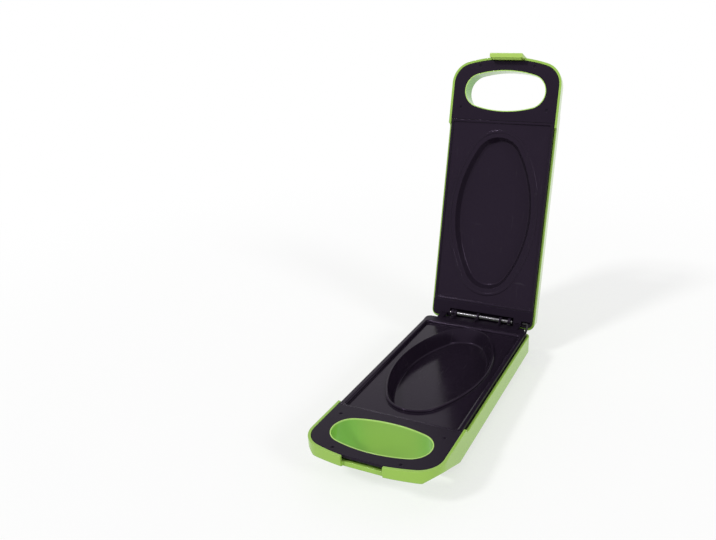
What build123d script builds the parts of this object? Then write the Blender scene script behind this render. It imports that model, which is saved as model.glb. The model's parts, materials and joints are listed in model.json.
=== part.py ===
from build123d import *
import math
import os

# A slim clamshell grill: two moulded half casings hinged at the back, each with a cooking plate,
# and a hand hole through both at the front. Lengths are in millimetres, angles in degrees.
# Everything is laid out closed first: x runs across, s runs forward from the hinge axis, and
# depth runs away from the parting plane, upward in the lid and downward in the base.

# Plan form shared by both halves
HALF_WIDTH = 67.0            # centre line to the outside of a side wall
FRONT = 313.0                # hinge axis to the middle of the front edge
FRONT_RADIUS = 176.0         # bulge of the front edge
FRONT_CORNER = 26.0          # front corners in plan
REAR_CORNER = 9.0            # rear corners in plan
WALL = 2.6                   # casing wall
PARTING_GAP = 0.6            # space between the closed halves
SEAM_SETBACK = 74.8          # front edge back to the seam between bezel and plate
BEZEL_SEAM = FRONT - SEAM_SETBACK
RIM_STEP = BEZEL_SEAM - 5.2  # behind this the casing rim is cut lower
RIM_DROP = 4.5               # depth of the lowered rim
EDGE_ROUND = 2.0             # rounding of the casing's outer edges

# Lid casing
LID_REAR = -8.0
LID_DEPTH = 47.0
LID_SHOULDER = 30.0          # where the side wall turns into the bevel
LID_LEAN = 3.9               # how far the side walls lean in up to the shoulder
LID_BEVEL = 4.1              # how much further the bevel leans in
LID_HANDLE_BACK = 27.0       # depth of the handle behind the hand hole
LID_HANDLE_FRONT = 24.5
LID_SLOPE_TOP = BEZEL_SEAM + 4.8
LID_SLOPE_FOOT = BEZEL_SEAM + 11.8

# Base casing
BASE_REAR = 14.0
BASE_DEPTH = 40.0
BASE_SHOULDER = 24.2
BASE_HANDLE_BACK = 24.0
BASE_HANDLE_FRONT = 10.4
BASE_SLOPE_TOP = BEZEL_SEAM + 13.8
BASE_SLOPE_FOOT = BEZEL_SEAM + 29.8
BASE_BEVEL = 7.6
BASE_CORNER_S = BEZEL_SEAM + 8.8   # where the slanted corner face meets the side wall
BASE_CORNER_DEPTH = 25.6     # and how deep it is there
BASE_CORNER_FALL = 0.43      # how much shallower it gets for each millimetre forward
BASE_CORNER_RISE = 0.85      # how much deeper for each millimetre inward

# Hand hole
HOLE_SETBACK = 39.7          # front edge back to the middle of the hole
HOLE_MARGIN = 18.2           # side of the casing to the hole's end
HOLE_S = FRONT - HOLE_SETBACK
HOLE_HALF_LENGTH = HALF_WIDTH - HOLE_MARGIN
HOLE_HALF_WIDTH = 23.2
HOLE_END_RADIUS = 19.0
HOLE_DRAFT = 4.0             # degrees that the hole opens outward
HOLE_ROUND = 2.0
HOLE_LIP = 1.0               # thin edge of the tunnel that shows inside the bezel

# Black bezel round the hand hole
BEZEL_INSET = 3.2            # outside of the casing to the bezel
BEZEL_THICK = 2.8
BEZEL_HOLE_GAP = 0.25
SEAM_GAP = 0.3
LEDGE_DEEP = 2.5             # thickness of the ledges that carry a plate
LEDGE_REACH = 11.0           # how far a ledge goes under a plate
LEDGE_INSET = 4.6            # outside of the casing to the ends of a ledge
WEB_THICK = 2.0              # upright between a bezel or cover and its ledge
DIMPLE_RADIUS = 1.6
DIMPLE_DEEP = 0.8
SIDE_DIMPLE_X = HALF_WIDTH - 14.0
SIDE_DIMPLE_S = BEZEL_SEAM + 14.3
FRONT_DIMPLE_X = HALF_WIDTH - 34.0
FRONT_DIMPLE_S = FRONT - 11.0

# Cooking plates
PLATE_INSET = 3.6            # outside of the casing to the plate
PLATE_SLAB = 6.5             # depth of the plate's underside
PLATE_SKIN = 2.5             # wall of the pocket
BASE_LIP = 5.7               # width of the raised lip along the sides
LID_LIP = 2.6
PLATE_END_LIP = 3.0          # width of the raised lip at the ends
PLATE_ROUND = 2.0            # corner of the tray inside the lip
LIP_ROUND_SHARE = 0.65       # rounding of the lip's inner edge, per depth of the tray
BASE_TRAY = 4.0              # depth of the base plate's flat
LID_TRAY = 2.0
BASE_POCKET = 18.0           # depth of the base pocket's floor
LID_POCKET = 10.0
POCKET_REAR = 35.0
POCKET_FRONT = BEZEL_SEAM - 19.2
POCKET_S = (POCKET_REAR + POCKET_FRONT) / 2
POCKET_HALF_LENGTH = (POCKET_FRONT - POCKET_REAR) / 2
POCKET_MARGIN = 19.5         # side of the casing to the pocket
POCKET_HALF_WIDTH = HALF_WIDTH - POCKET_MARGIN
POCKET_END_RADIUS = 30.0
POCKET_DRAFT = 4.5           # the wall leans in by this much on its way down
FLOOR_ROUND = 2.5
BEAD_WIDTH = 3.2             # raised bead round the base pocket
BEAD_HEIGHT = 2.8
LID_BEAD_OFFSET = 5.0        # faint ring outside the lid's pocket
LID_BEAD_HEIGHT = 0.7

# Hinge
OPEN_ANGLE = 106.0
PIN_RADIUS = 2.0
PIN_FIT = 0.05               # radial clearance of the pin in its eyes
EYE_RADIUS = 4.3
RIB_THICK = 2.4
RIB_PITCH = 28.9
RIB_MIDDLE = -3.6
RIB_COUNT = 3
LUG_THICK = 3.0              # end lugs on the lid
CHANNEL_RADIUS = 5.2         # room round the pin inside the lid's cover
CHANNEL_WALL = 1.8
CHANNEL_HALF_LENGTH = HALF_WIDTH - 26.0
PIN_HALF_LENGTH = CHANNEL_HALF_LENGTH - 1.0
LUG_X = CHANNEL_HALF_LENGTH - 4.5
COVER_THICK = 2.7
BAND_WIDTH = 2.0             # raised band round a cover's edge
BAND_DEEP = 6.0
LID_COVER_FRONT = 15.0
BASE_COVER_FRONT = 28.2
RIB_LOW = 4.2                # lower edge of the ribs where they leave the base
STOP_X = HALF_WIDTH - 19.5
STOP_WIDTH = 7.0
STOP_GAP = 0.3
APRON_REACH = CHANNEL_RADIUS + 0.7    # hinge axis to the strip that closes the gap below the pin
APRON_LOW = RIB_LOW - 0.1
APRON_THICK = 1.2
APRON_HALF_WIDTH = STOP_X + STOP_WIDTH / 2

# Latch
LATCH_WIDTH = 39.6
LATCH_GAP = 0.4              # clearance at each side of the latch
LATCH_THICK = 5.4
LATCH_PROUD = 1.0            # how far it stands out of the front edge
LATCH_TOP = 20.5
LATCH_REACH = 9.4            # how far it reaches past the parting plane
LATCH_PIN_RADIUS = 1.1
LATCH_PIN_FIT = 0.05
LATCH_REST = 3.2             # how far out it hangs while the lid is open
LATCH_TRAVEL = 32.0          # further it can be pulled out
NOSE_LENGTH = 1.4
NOSE_THICK = 3.0
NOSE_GAP = 0.4
CATCH_THICK = 3.1            # ledge that the nose hooks under
NOTCH_DEEP = 7.2             # top of the casing wall behind the latch
CATCH_SETBACK = 1.0          # the catch is narrower than the latch's room
CATCH_WIDTH = 4.0
NOSE_SETBACK = 3.0
LATCH_ROUND = 1.2

# Posts, case screws, plugs and feet
POST_X = HALF_WIDTH - 21.2
LID_POST_FRONT_S = BEZEL_SEAM - 2.6
LID_POST_REAR_S = LID_REAR + 10.2
BASE_POST_FRONT_S = BEZEL_SEAM - 5.6
BASE_POST_REAR_S = BASE_REAR + 8.7
POST_RADIUS = 4.4
BOSS_RADIUS = 5.4
LID_BOSS_END = 24.0
BASE_BOSS_END = 20.0
JOINT_GAP = 0.2              # between a boss and the post that it meets
SCREW_RADIUS = 1.75
SCREW_FIT = 0.05
SCREW_HOLE_FIT = 0.25
PILOT_DEEP = 14.0            # screw hole in a post
SCREW_HEAD_RADIUS = 3.2
SCREW_HEAD_HEIGHT = 2.4
CASE_SCREW_LENGTH = 22.0
SINK_RADIUS = 3.9
SINK_DEEP = 8.0
PLUG_RADIUS = 4.3
PLUG_HEIGHT = 2.6
PLUG_STEM = 4.0
FOOT_RADIUS = 6.5
FOOT_TIP_RADIUS = 5.4
FOOT_HEIGHT = 4.0
FOOT_ROUND = 0.6
PLUG_FIT = 0.1

# Heaters, straps and shields
TUBE_RADIUS = 3.25
HEATER_HALF_SPREAD = 26.0
HEATER_FRONT = POCKET_FRONT - 43.0
HEATER_REAR = POCKET_REAR + 7.0
TERMINAL_LENGTH = 9.0
TERMINAL_RADIUS = 1.5
HEATER_GAP = 0.15
STRAP_THICK = 1.5
STRAP_WIDTH = 12.0
STRAP_OVERHANG = 5.0
STRAP_ROUND = 2.0
STRAP_PITCH = 60.0
STRAP_MIDDLE = POCKET_S - 5.0
STRAP_S = (STRAP_MIDDLE - STRAP_PITCH / 2, STRAP_MIDDLE + STRAP_PITCH / 2)
STRAP_BOSS_RADIUS = 4.5
SMALL_SCREW_RADIUS = 1.5
SMALL_HEAD_RADIUS = 2.8
SMALL_HEAD_HEIGHT = 2.0
SMALL_SCREW_LENGTH = 6.0
SMALL_HOLE_FIT = 0.2
CROSS_SLOT = 0.8             # width of the cross in a screw's head
SHIELD_THICK = 0.8
SHIELD_RIM = 4.0
SHIELD_CORNER = 4.0
SHIELD_INSET = 9.2           # side of the casing to the shield
SHIELD_HALF_WIDTH = HALF_WIDTH - SHIELD_INSET
SHIELD_FRONT = BEZEL_SEAM - 28.2
SHIELD_REAR = POCKET_REAR + 15.0
SHIELD_AIR = 2.4             # space between the straps' screws and the shield
SHIELD_POST_X = SHIELD_HALF_WIDTH - 4.0
SHIELD_POST_RADIUS = 3.0
SHIELD_POST_S = (SHIELD_REAR + 12.0, SHIELD_FRONT - 14.0)
PLATE_SCREW_X = HALF_WIDTH - 7.6
PLATE_SCREW_INSET = 4.6      # plate screws from the plate's ends
PLATE_PILOT = 2.8

# Control parts in the base
INLET_X = 0.0
INLET_FLOOR_ROOM = 11.0      # middle of the cord to the outside of the base
INLET_DEPTH = BASE_DEPTH - INLET_FLOOR_ROOM
INLET_BORE = 3.3
CORD_ROOM = 0.3              # between the cord's place and its clamp
INLET_NECK = 5.0
INLET_FLANGE = 7.0
INLET_OUT = 3.0
INLET_IN = 3.4
INLET_FLANGE_THICK = 1.8
TERMINAL_POST_ROOM = 5.8     # from the middle of a case screw's post to the terminal block
TERMINAL_CLAMP_ROOM = 14.0   # from the middle of the cord to the terminal block
TERMINAL_LENGTH_X = POST_X - TERMINAL_POST_ROOM - TERMINAL_CLAMP_ROOM
TERMINAL_WIDTH = 8.4
TERMINAL_HEIGHT = 11.0
TERMINAL_X = -TERMINAL_CLAMP_ROOM - TERMINAL_LENGTH_X / 2
CONTROL_S = BASE_REAR + 8.0  # middle of the room behind the plate
CLAMP_HALF_SPREAD = 7.0      # middle to the clamp's screws
CLAMP_POST_RADIUS = 3.0
CLAMP_S = CONTROL_S + 2.5
CLAMP_WIDTH = 5.0
CLAMP_THICK = 4.0
THERMOSTAT_RADIUS = 8.0
THERMOSTAT_HEIGHT = 5.0
THERMOSTAT_S = STRAP_MIDDLE
THERMOSTAT_HOLE_X = 13.5
FUSE_RADIUS = 2.2
FUSE_LENGTH = 18.0
FUSE_S = 70.0
FUSE_HOLE_X = 15.5
FUSE_LEAD_RADIUS = 0.6
FUSE_LEAD_LENGTH = 2.5
BRACKET_WIDTH = 8.0
BRACKET_THICK = 1.0
BRACKET_ROUND = 2.5
SENSOR_BOSS_RADIUS = 3.0
WIRE_RADIUS = 1.1
WIRE_BEND = 1.8
WIRE_FIT = 0.1               # between a wire's end and its terminal
WIRE_ROOM = 0.4              # round a lead in the hole that it passes

# Indicator in the lid
LENS_X = 0.0
LENS_S = LID_SLOPE_TOP - 41.5
LENS_HALF_LENGTH = 17.6
LENS_HALF_WIDTH = 7.0
LENS_END_RADIUS = 5.6
LENS_RISE = 1.2
LENS_FLANGE = 1.8
LENS_FLANGE_THICK = 1.4
LENS_FIT = 0.15
SEAT_GAP = 0.1
LAMP_RADIUS = 2.6
LAMP_LENGTH = 14.0
LAMP_WIRE_X = 4.0
HOLDER_WALL = 1.6
HOLDER_DEEP = 9.0

# Lead through the hinge line
LEAD_RADIUS = 1.4
LEAD_CROSS_X = HALF_WIDTH - 11.0
LEAD_BASE_X = LEAD_CROSS_X + 3.2
LEAD_LID_X = LEAD_CROSS_X - 2.6
LEAD_MEET_GAP = 0.3
LEAD_GROOVE = 2.5
LEAD_BEND = 2.0
LEAD_RUN_S = CONTROL_S + 8.5
LEAD_RUN_DEPTH = 15.0
BLOCK_WIRE_STEP = 4.0
BLOCK_HALF_LENGTH = 11.0     # connector block in the lid
BLOCK_HALF_WIDTH = 4.0
BLOCK_HEIGHT = 8.0
BLOCK_S = 8.5
BLOCK_SEAT = 8.0

HALF_GAP = PARTING_GAP / 2
SIN_OPEN = math.sin(math.radians(OPEN_ANGLE))
COS_OPEN = math.cos(math.radians(OPEN_ANGLE))
PLATE_HALF_WIDTH = HALF_WIDTH - PLATE_INSET
LEDGE_HALF_WIDTH = HALF_WIDTH - LEDGE_INSET
PLATE_FRONT = BEZEL_SEAM - SEAM_GAP / 2
BEZEL_REAR = BEZEL_SEAM + SEAM_GAP / 2
LEDGE_TOP = PLATE_SLAB + 0.2
LATCH_OUTER_S = FRONT + LATCH_PROUD
LATCH_INNER_S = LATCH_OUTER_S - LATCH_THICK
LATCH_BACK_S = LATCH_INNER_S - LATCH_GAP
LATCH_PIVOT_S = LATCH_OUTER_S - LATCH_THICK / 2
LATCH_PIVOT_DEPTH = LATCH_TOP - LATCH_THICK / 2
LATCH_POCKET_HALF = LATCH_WIDTH / 2 + LATCH_GAP
FAR = 60.0                   # well outside the casing, for cutting tools


class Half:
    """Sizes of one half of the clamshell."""

    def __init__(self, rear, deep, shoulder, lean, bevel, handle_back, handle_front, slope_top,
                 slope_foot, cover_front, tray, lip, pocket, post_s, boss_end, slanted):
        self.rear = rear
        self.deep = deep
        self.shoulder = shoulder
        self.lean = lean
        self.bevel = bevel
        self.handle_back = handle_back
        self.handle_front = handle_front
        self.slope_top = slope_top
        self.slope_foot = slope_foot
        self.cover_front = cover_front
        self.plate_rear = cover_front + SEAM_GAP
        self.tray = tray
        self.lip = lip
        self.pocket = pocket
        self.under = pocket + PLATE_SKIN
        self.heater = self.under + HEATER_GAP + TUBE_RADIUS
        self.strap = self.heater + TUBE_RADIUS + HEATER_GAP
        self.shield = self.strap + STRAP_THICK + SMALL_HEAD_HEIGHT + SHIELD_AIR
        self.posts = [(x, s) for s in post_s for x in (-POST_X, POST_X)]
        self.boss_end = boss_end
        self.slanted = slanted


LID = Half(LID_REAR, LID_DEPTH, LID_SHOULDER, LID_LEAN, LID_BEVEL, LID_HANDLE_BACK,
           LID_HANDLE_FRONT, LID_SLOPE_TOP, LID_SLOPE_FOOT, LID_COVER_FRONT, LID_TRAY, LID_LIP,
           LID_POCKET, (LID_POST_REAR_S, LID_POST_FRONT_S), LID_BOSS_END, False)
BASE = Half(BASE_REAR, BASE_DEPTH, BASE_SHOULDER, 0.0, BASE_BEVEL, BASE_HANDLE_BACK,
            BASE_HANDLE_FRONT, BASE_SLOPE_TOP, BASE_SLOPE_FOOT, BASE_COVER_FRONT, BASE_TRAY,
            BASE_LIP, BASE_POCKET, (BASE_POST_REAR_S, BASE_POST_FRONT_S), BASE_BOSS_END, True)


# Seats of the parts inside
BASE_FLOOR = BASE.deep - WALL
CLAMP_SEAT = INLET_DEPTH - INLET_BORE - CORD_ROOM
SENSOR_TOP = BASE.under + HEATER_GAP
BLOCK_TOP = BASE_FLOOR - TERMINAL_HEIGHT
LID_BLOCK_TOP = BLOCK_SEAT + BLOCK_HEIGHT
LENS_SEAT = LID.deep - WALL - SEAT_GAP
HOLDER_TOP = LENS_SEAT - LENS_FLANGE_THICK - SEAT_GAP
HOLDER_FLOOR = HOLDER_TOP - HOLDER_DEEP
SENSORS = (
    (THERMOSTAT_HOLE_X, THERMOSTAT_S, THERMOSTAT_HEIGHT),
    (FUSE_HOLE_X, FUSE_S, 2 * FUSE_RADIUS),
)


# Basic shapes, all placed by x, s and depth
def box(x, s, depth):
    """Block between the low and high values of x, s and depth."""
    middle = Pos((x[0] + x[1]) / 2, -(s[0] + s[1]) / 2, (depth[0] + depth[1]) / 2)
    return middle * Box(x[1] - x[0], s[1] - s[0], depth[1] - depth[0])


def peg(x, s, radius, low, high, tip=None):
    """Round post along the depth, tapering to the tip radius if one is given."""
    middle = Pos(x, -s, (low + high) / 2)
    if tip is None:
        return middle * Cylinder(radius, high - low)
    return middle * Cone(radius, tip, high - low)


def bar_across(x, s, depth, radius, length):
    """Round bar running across the grill, centred on x."""
    return Pos(x, -s, depth) * Rot(0, 90, 0) * Cylinder(radius, length)


def across(points, low, high):
    """Prism with an outline of (s, depth) points, between two values of x."""
    outline = Polyline(*[(low, -s, depth) for s, depth in points], close=True)
    return extrude(make_face(outline), amount=high - low, dir=(1, 0, 0))


def oval(half_x, half_y, end_radius, grow=0.0):
    """Oval of four tangent arcs, long in x; grow gives the parallel oval outside it."""
    reach = half_x - end_radius
    rise = half_y - end_radius
    drop = (reach ** 2 - rise ** 2) / (2 * rise)
    lean = math.atan2(drop, reach)
    small = end_radius + grow
    tx = reach + small * math.cos(lean)
    ty = small * math.sin(lean)
    arcs = [
        ThreePointArc((-tx, ty), (0, half_y + grow), (tx, ty)),
        ThreePointArc((tx, ty), (reach + small, 0), (tx, -ty)),
        ThreePointArc((tx, -ty), (0, -half_y - grow), (-tx, -ty)),
        ThreePointArc((-tx, -ty), (-reach - small, 0), (-tx, ty)),
    ]
    return make_face(arcs)


def hand_hole(grow=0.0):
    return Pos(0, -HOLE_S) * oval(HOLE_HALF_LENGTH, HOLE_HALF_WIDTH, HOLE_END_RADIUS, grow)


def pocket_oval(grow=0.0):
    shape = oval(POCKET_HALF_LENGTH, POCKET_HALF_WIDTH, POCKET_END_RADIUS, grow)
    return Pos(0, -POCKET_S) * Rot(0, 0, 90) * shape


def lens_oval(grow=0.0):
    return Pos(LENS_X, -LENS_S) * oval(LENS_HALF_LENGTH, LENS_HALF_WIDTH, LENS_END_RADIUS, grow)


def drafted(shape, low, high, grow_low, grow_high):
    """Ruled solid between two parallel ovals at two depths."""
    return loft([Pos(0, 0, low) * shape(grow_low), Pos(0, 0, high) * shape(grow_high)], ruled=True)


def slab(sketch, low, high):
    return extrude(Pos(0, 0, low) * sketch, amount=high - low)


def wire(points, radius, bend):
    """Round lead through (x, s, depth) points, with bends of one radius."""
    path = FilletPolyline(*[(x, -s, depth) for x, s, depth in points], radius=bend)
    return sweep(Plane(path @ 0, z_dir=path % 0) * Circle(radius), path=path)


# The casings
def plan(inset, rear, lean=0.0):
    """Outline of a half from above, drawn in all round by inset and at the sides by lean."""
    half = HALF_WIDTH - inset - lean
    bulge = FRONT_RADIUS - inset
    middle = FRONT - inset
    cheek = middle - (bulge - math.sqrt(bulge ** 2 - half ** 2))
    back_left = (-half, -rear - inset)
    back_right = (half, -rear - inset)
    front_right = (half, -cheek)
    front_left = (-half, -cheek)
    edges = [
        Line(back_left, back_right),
        Line(back_right, front_right),
        ThreePointArc(front_right, (0, -middle), front_left),
        Line(front_left, back_left),
    ]
    face = make_face(edges)
    face = fillet(face.vertices().sort_by(Axis.Y)[:2], FRONT_CORNER - inset)
    return fillet(face.vertices().sort_by(Axis.Y)[-2:], REAR_CORNER - inset)


def form(half, inset=0.0):
    """Outer form of a casing, or the room inside it when inset is the wall."""
    fall = (half.handle_back - half.handle_front) / (FRONT - half.slope_foot)
    beyond = half.handle_front - fall * FAR
    side = [
        (half.rear - FAR, -FAR),
        (half.rear - FAR, half.deep),
        (half.slope_top, half.deep),
        (half.slope_foot, half.handle_back),
        (FRONT + FAR, beyond),
        (FRONT + FAR, -FAR),
    ]
    side_face = make_face(Polyline(*side, close=True))
    narrow = HALF_WIDTH - half.lean - half.bevel
    wide = narrow + half.bevel * (half.deep + FAR) / (half.deep - half.shoulder)
    end = [(-wide, -FAR), (-narrow, half.deep), (narrow, half.deep), (wide, -FAR)]
    end_face = make_face(Polyline(*end, close=True))
    if inset:
        side_face = offset(side_face, -inset, kind=Kind.INTERSECTION)
        end_face = offset(end_face, -inset, kind=Kind.INTERSECTION)
    side_plane = Plane(origin=(-FAR * 2, 0, 0), x_dir=(0, -1, 0), z_dir=(-1, 0, 0))
    end_plane = Plane(origin=(0, FAR, 0), x_dir=(-1, 0, 0), z_dir=(0, 1, 0))
    sides = extrude(side_plane * side_face, amount=FAR * 4, dir=(1, 0, 0))
    ends = extrude(end_plane * end_face, amount=FRONT + FAR * 3, dir=(0, -1, 0))
    lean = half.lean * half.deep / half.shoulder
    walls = loft([plan(inset, half.rear), Pos(0, 0, half.deep) * plan(inset, half.rear, lean)],
                 ruled=True)
    body = walls & sides & ends
    if half.slanted:
        for side in (-1, 1):
            body -= beyond_corner(side, inset)
    return body


def beyond_corner(side, inset):
    """What lies outside the slanted face at a front corner of the base."""
    outward = Vector(side * BASE_CORNER_RISE, -BASE_CORNER_FALL, 1).normalized()
    corner = Vector(side * HALF_WIDTH, -BASE_CORNER_S, BASE_CORNER_DEPTH) - outward * inset
    block = Box(FAR * 8, FAR * 8, FAR * 2, align=(Align.CENTER, Align.CENTER, Align.MIN))
    return Plane(origin=corner, z_dir=outward) * block


def rounded(half):
    """Outer form with its outer edges rounded; the corner seams and the rim stay sharp."""
    body = form(half)
    edges = [e for e in body.edges() if e.center().Z > 1 and abs((e % 0.5).Z) < 0.9]
    return fillet(edges, EDGE_ROUND)


def latch_room(deep_end):
    """Room for the latch at the middle of the front edge."""
    return box((-LATCH_POCKET_HALF, LATCH_POCKET_HALF), (LATCH_BACK_S, FRONT + FAR), (-1, deep_end))


def casing(half, is_lid):
    """Hollow casing with the hand hole's tunnel, screw bosses and the place of the latch."""
    outer = rounded(half)
    shell = outer - form(half, WALL)
    drift = half.deep * math.tan(math.radians(HOLE_DRAFT))
    shell += drafted(lambda g: hand_hole(WALL + g), 0, half.deep, 0, drift) & outer
    for x, s in half.posts:
        shell += peg(x, s, BOSS_RADIUS, half.boss_end, half.deep - EDGE_ROUND)
    back = LATCH_BACK_S - WALL
    cheek = LATCH_POCKET_HALF + WALL
    if is_lid:
        top = LATCH_TOP + LATCH_GAP
        lining = box((-cheek, cheek), (back, FRONT + FAR), (CATCH_THICK + HALF_GAP, top + WALL))
        shell += lining & outer
        shell -= latch_room(top)
        shell -= bar_across(0, LATCH_PIVOT_S, LATCH_PIVOT_DEPTH, LATCH_PIN_RADIUS + LATCH_PIN_FIT,
                            2 * (LATCH_POCKET_HALF + WALL))
    else:
        lining = box((-cheek, cheek), (back, FRONT + FAR), (NOTCH_DEEP, half.deep))
        shell += lining & outer
        shell -= latch_room(half.deep)
        shell -= box((-LATCH_POCKET_HALF, LATCH_POCKET_HALF), (back - 1, FRONT), (-1, NOTCH_DEEP))
    for x, s in half.posts:
        shell -= peg(x, s, SCREW_RADIUS + SCREW_HOLE_FIT, half.boss_end - 1, half.deep)
        shell -= peg(x, s, SINK_RADIUS, half.deep - SINK_DEEP, half.deep + 1)
    shell -= drafted(hand_hole, 0, half.deep + 1, 0, drift)
    shell -= slab(hand_hole(WALL + 1) - hand_hole(HOLE_LIP), -1, HALF_GAP + BEZEL_THICK)
    shell -= box((-FAR * 2, FAR * 2), (-FAR, FRONT + FAR), (-1, HALF_GAP))
    rim = rim_cutter(half.rear - FAR, RIM_STEP, RIM_DROP)
    return shell - rim


def rim_cutter(rear, front, drop):
    """Cutter for the lowered rim, with a round end towards the handle."""
    bend = drop - HALF_GAP
    outline = [
        Line((rear, -1), (rear, drop)),
        Line((rear, drop), (front - bend, drop)),
        ThreePointArc((front - bend, drop), (front - bend * (1 - math.sin(math.pi / 4)),
                      drop - bend * (1 - math.cos(math.pi / 4))), (front, HALF_GAP)),
        Line((front, HALF_GAP), (front, -1)),
        Line((front, -1), (rear, -1)),
    ]
    plane = Plane(origin=(-FAR * 2, 0, 0), x_dir=(0, -1, 0), z_dir=(-1, 0, 0))
    return extrude(plane * make_face(outline), amount=FAR * 4, dir=(1, 0, 0))


# The black inner parts that show when the grill is open
def pocket_clearance(half):
    return drafted(lambda g: pocket_oval(PLATE_SKIN + 1 + g), -1, half.under + 1, 0, 0)


def ledge(half, s):
    """Shelf under the edge of a plate, clear of the pocket."""
    shelf = box((-LEDGE_HALF_WIDTH, LEDGE_HALF_WIDTH), s, (LEDGE_TOP, LEDGE_TOP + LEDGE_DEEP))
    return shelf - pocket_clearance(half)


def with_screw_holes(half, piece, front_pair):
    """Add the case screw posts and the holes for the plate's screws."""
    wanted = [p for p in half.posts if (p[1] > POCKET_S) == front_pair]
    for x, s in wanted:
        start = LEDGE_TOP + LEDGE_DEEP / 2 if front_pair else HALF_GAP + COVER_THICK / 2
        piece += peg(x, s, POST_RADIUS, start, half.boss_end - JOINT_GAP)
    for x, s in wanted:
        piece -= peg(x, s, SCREW_RADIUS + SCREW_FIT, half.boss_end - PILOT_DEEP, half.boss_end + 1)
    s_screw = PLATE_FRONT - PLATE_SCREW_INSET if front_pair else half.plate_rear + PLATE_SCREW_INSET
    for x in (-PLATE_SCREW_X, PLATE_SCREW_X):
        piece -= peg(x, s_screw, SMALL_SCREW_RADIUS + SCREW_FIT, LEDGE_TOP - 1,
                     LEDGE_TOP + LEDGE_DEEP + 1)
    return piece


def bezel(half, is_lid):
    """Black frame round the hand hole, with the shelf that carries the plate's front edge."""
    low = HALF_GAP
    face = plan(BEZEL_INSET, half.rear) - hand_hole(HOLE_LIP + BEZEL_HOLE_GAP)
    skin = slab(face, low, low + BEZEL_THICK)
    skin &= box((-FAR * 2, FAR * 2), (BEZEL_REAR, FRONT + FAR), (-1, FAR))
    web = (-LEDGE_HALF_WIDTH, LEDGE_HALF_WIDTH)
    back = BEZEL_REAR + WEB_THICK
    skin += box(web, (BEZEL_REAR, back), (low + BEZEL_THICK / 2, LEDGE_TOP + LEDGE_DEEP))
    skin += ledge(half, (BEZEL_SEAM - LEDGE_REACH, back))
    skin -= box((-LATCH_POCKET_HALF, LATCH_POCKET_HALF), (LATCH_BACK_S, FRONT + FAR), (-1, FAR))
    if not is_lid:
        half_catch = LATCH_POCKET_HALF - CATCH_SETBACK
        skin += box((-half_catch, half_catch), (LATCH_BACK_S - CATCH_WIDTH, LATCH_BACK_S),
                    (low, low + CATCH_THICK))
    skin = with_screw_holes(half, skin, True)
    for x, s in ((SIDE_DIMPLE_X, SIDE_DIMPLE_S), (FRONT_DIMPLE_X, FRONT_DIMPLE_S)):
        for side in (-1, 1):
            skin -= peg(side * x, s, DIMPLE_RADIUS, low - 1, low + DIMPLE_DEEP)
    return skin


def cooking_plate(half, bead_height, bead_offset, sensors=()):
    """Cast plate: raised lip, flat tray, oval pocket and bead, with posts on its underside."""
    low = HALF_GAP
    wide = (-PLATE_HALF_WIDTH, PLATE_HALF_WIDTH)
    plate = box(wide, (half.plate_rear, PLATE_FRONT), (low, PLATE_SLAB))
    tray = box((wide[0] + half.lip, wide[1] - half.lip),
               (half.plate_rear + PLATE_END_LIP, PLATE_FRONT - PLATE_END_LIP), (-1, half.tray))
    plate -= fillet(tray.edges().filter_by(Axis.Z), PLATE_ROUND)
    rim = [e for e in plate.edges() if abs(e.center().Z - low) < 0.01
           and abs(e.center().X) < PLATE_HALF_WIDTH - half.lip + 0.01
           and half.plate_rear + 1 < -e.center().Y < PLATE_FRONT - 1]
    plate = fillet(rim, LIP_ROUND_SHARE * (half.tray - low))
    deep = half.pocket - half.tray
    plate += drafted(lambda g: pocket_oval(PLATE_SKIN + g), half.tray, half.under, 0,
                     -POCKET_DRAFT * (deep + PLATE_SKIN) / deep)
    crest = half.tray - bead_height
    ring = pocket_oval(bead_offset + BEAD_WIDTH) - pocket_oval(bead_offset)
    bead = slab(ring, crest, half.tray + PLATE_SKIN / 2)
    top_edges = [e for e in bead.edges() if abs(e.center().Z - crest) < 0.01]
    plate += fillet(top_edges, min(bead_height, BEAD_WIDTH / 2) * 0.8)
    flare = POCKET_DRAFT * bead_height / deep
    well = drafted(pocket_oval, crest - 1, half.pocket, flare * (bead_height + 1) / bead_height,
                   -POCKET_DRAFT)
    floor_edges = [e for e in well.edges() if abs(e.center().Z - half.pocket) < 0.01]
    plate -= fillet(floor_edges, FLOOR_ROUND)
    for s in STRAP_S:
        plate += peg(0, s, STRAP_BOSS_RADIUS, half.under - 1, half.strap)
        plate -= peg(0, s, SMALL_SCREW_RADIUS + SCREW_FIT, half.strap - SMALL_SCREW_LENGTH, FAR)
    for hole_x, s, tall in sensors:
        top = half.under + HEATER_GAP + tall
        for x in (-hole_x, hole_x):
            plate += peg(x, s, SENSOR_BOSS_RADIUS, half.under - 1, top)
            plate -= peg(x, s, SMALL_SCREW_RADIUS + SCREW_FIT, top - SMALL_SCREW_LENGTH, FAR)
    for x in (-SHIELD_POST_X, SHIELD_POST_X):
        for s in SHIELD_POST_S:
            plate += peg(x, s, SHIELD_POST_RADIUS, PLATE_SLAB - 1, half.shield)
            plate -= peg(x, s, SMALL_SCREW_RADIUS + SCREW_FIT, half.shield - SMALL_SCREW_LENGTH, FAR)
    for x in (-PLATE_SCREW_X, PLATE_SCREW_X):
        for s in (half.plate_rear + PLATE_SCREW_INSET, PLATE_FRONT - PLATE_SCREW_INSET):
            plate -= peg(x, s, SMALL_SCREW_RADIUS + SCREW_FIT, PLATE_SLAB - PLATE_PILOT, FAR)
    return plate


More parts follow.
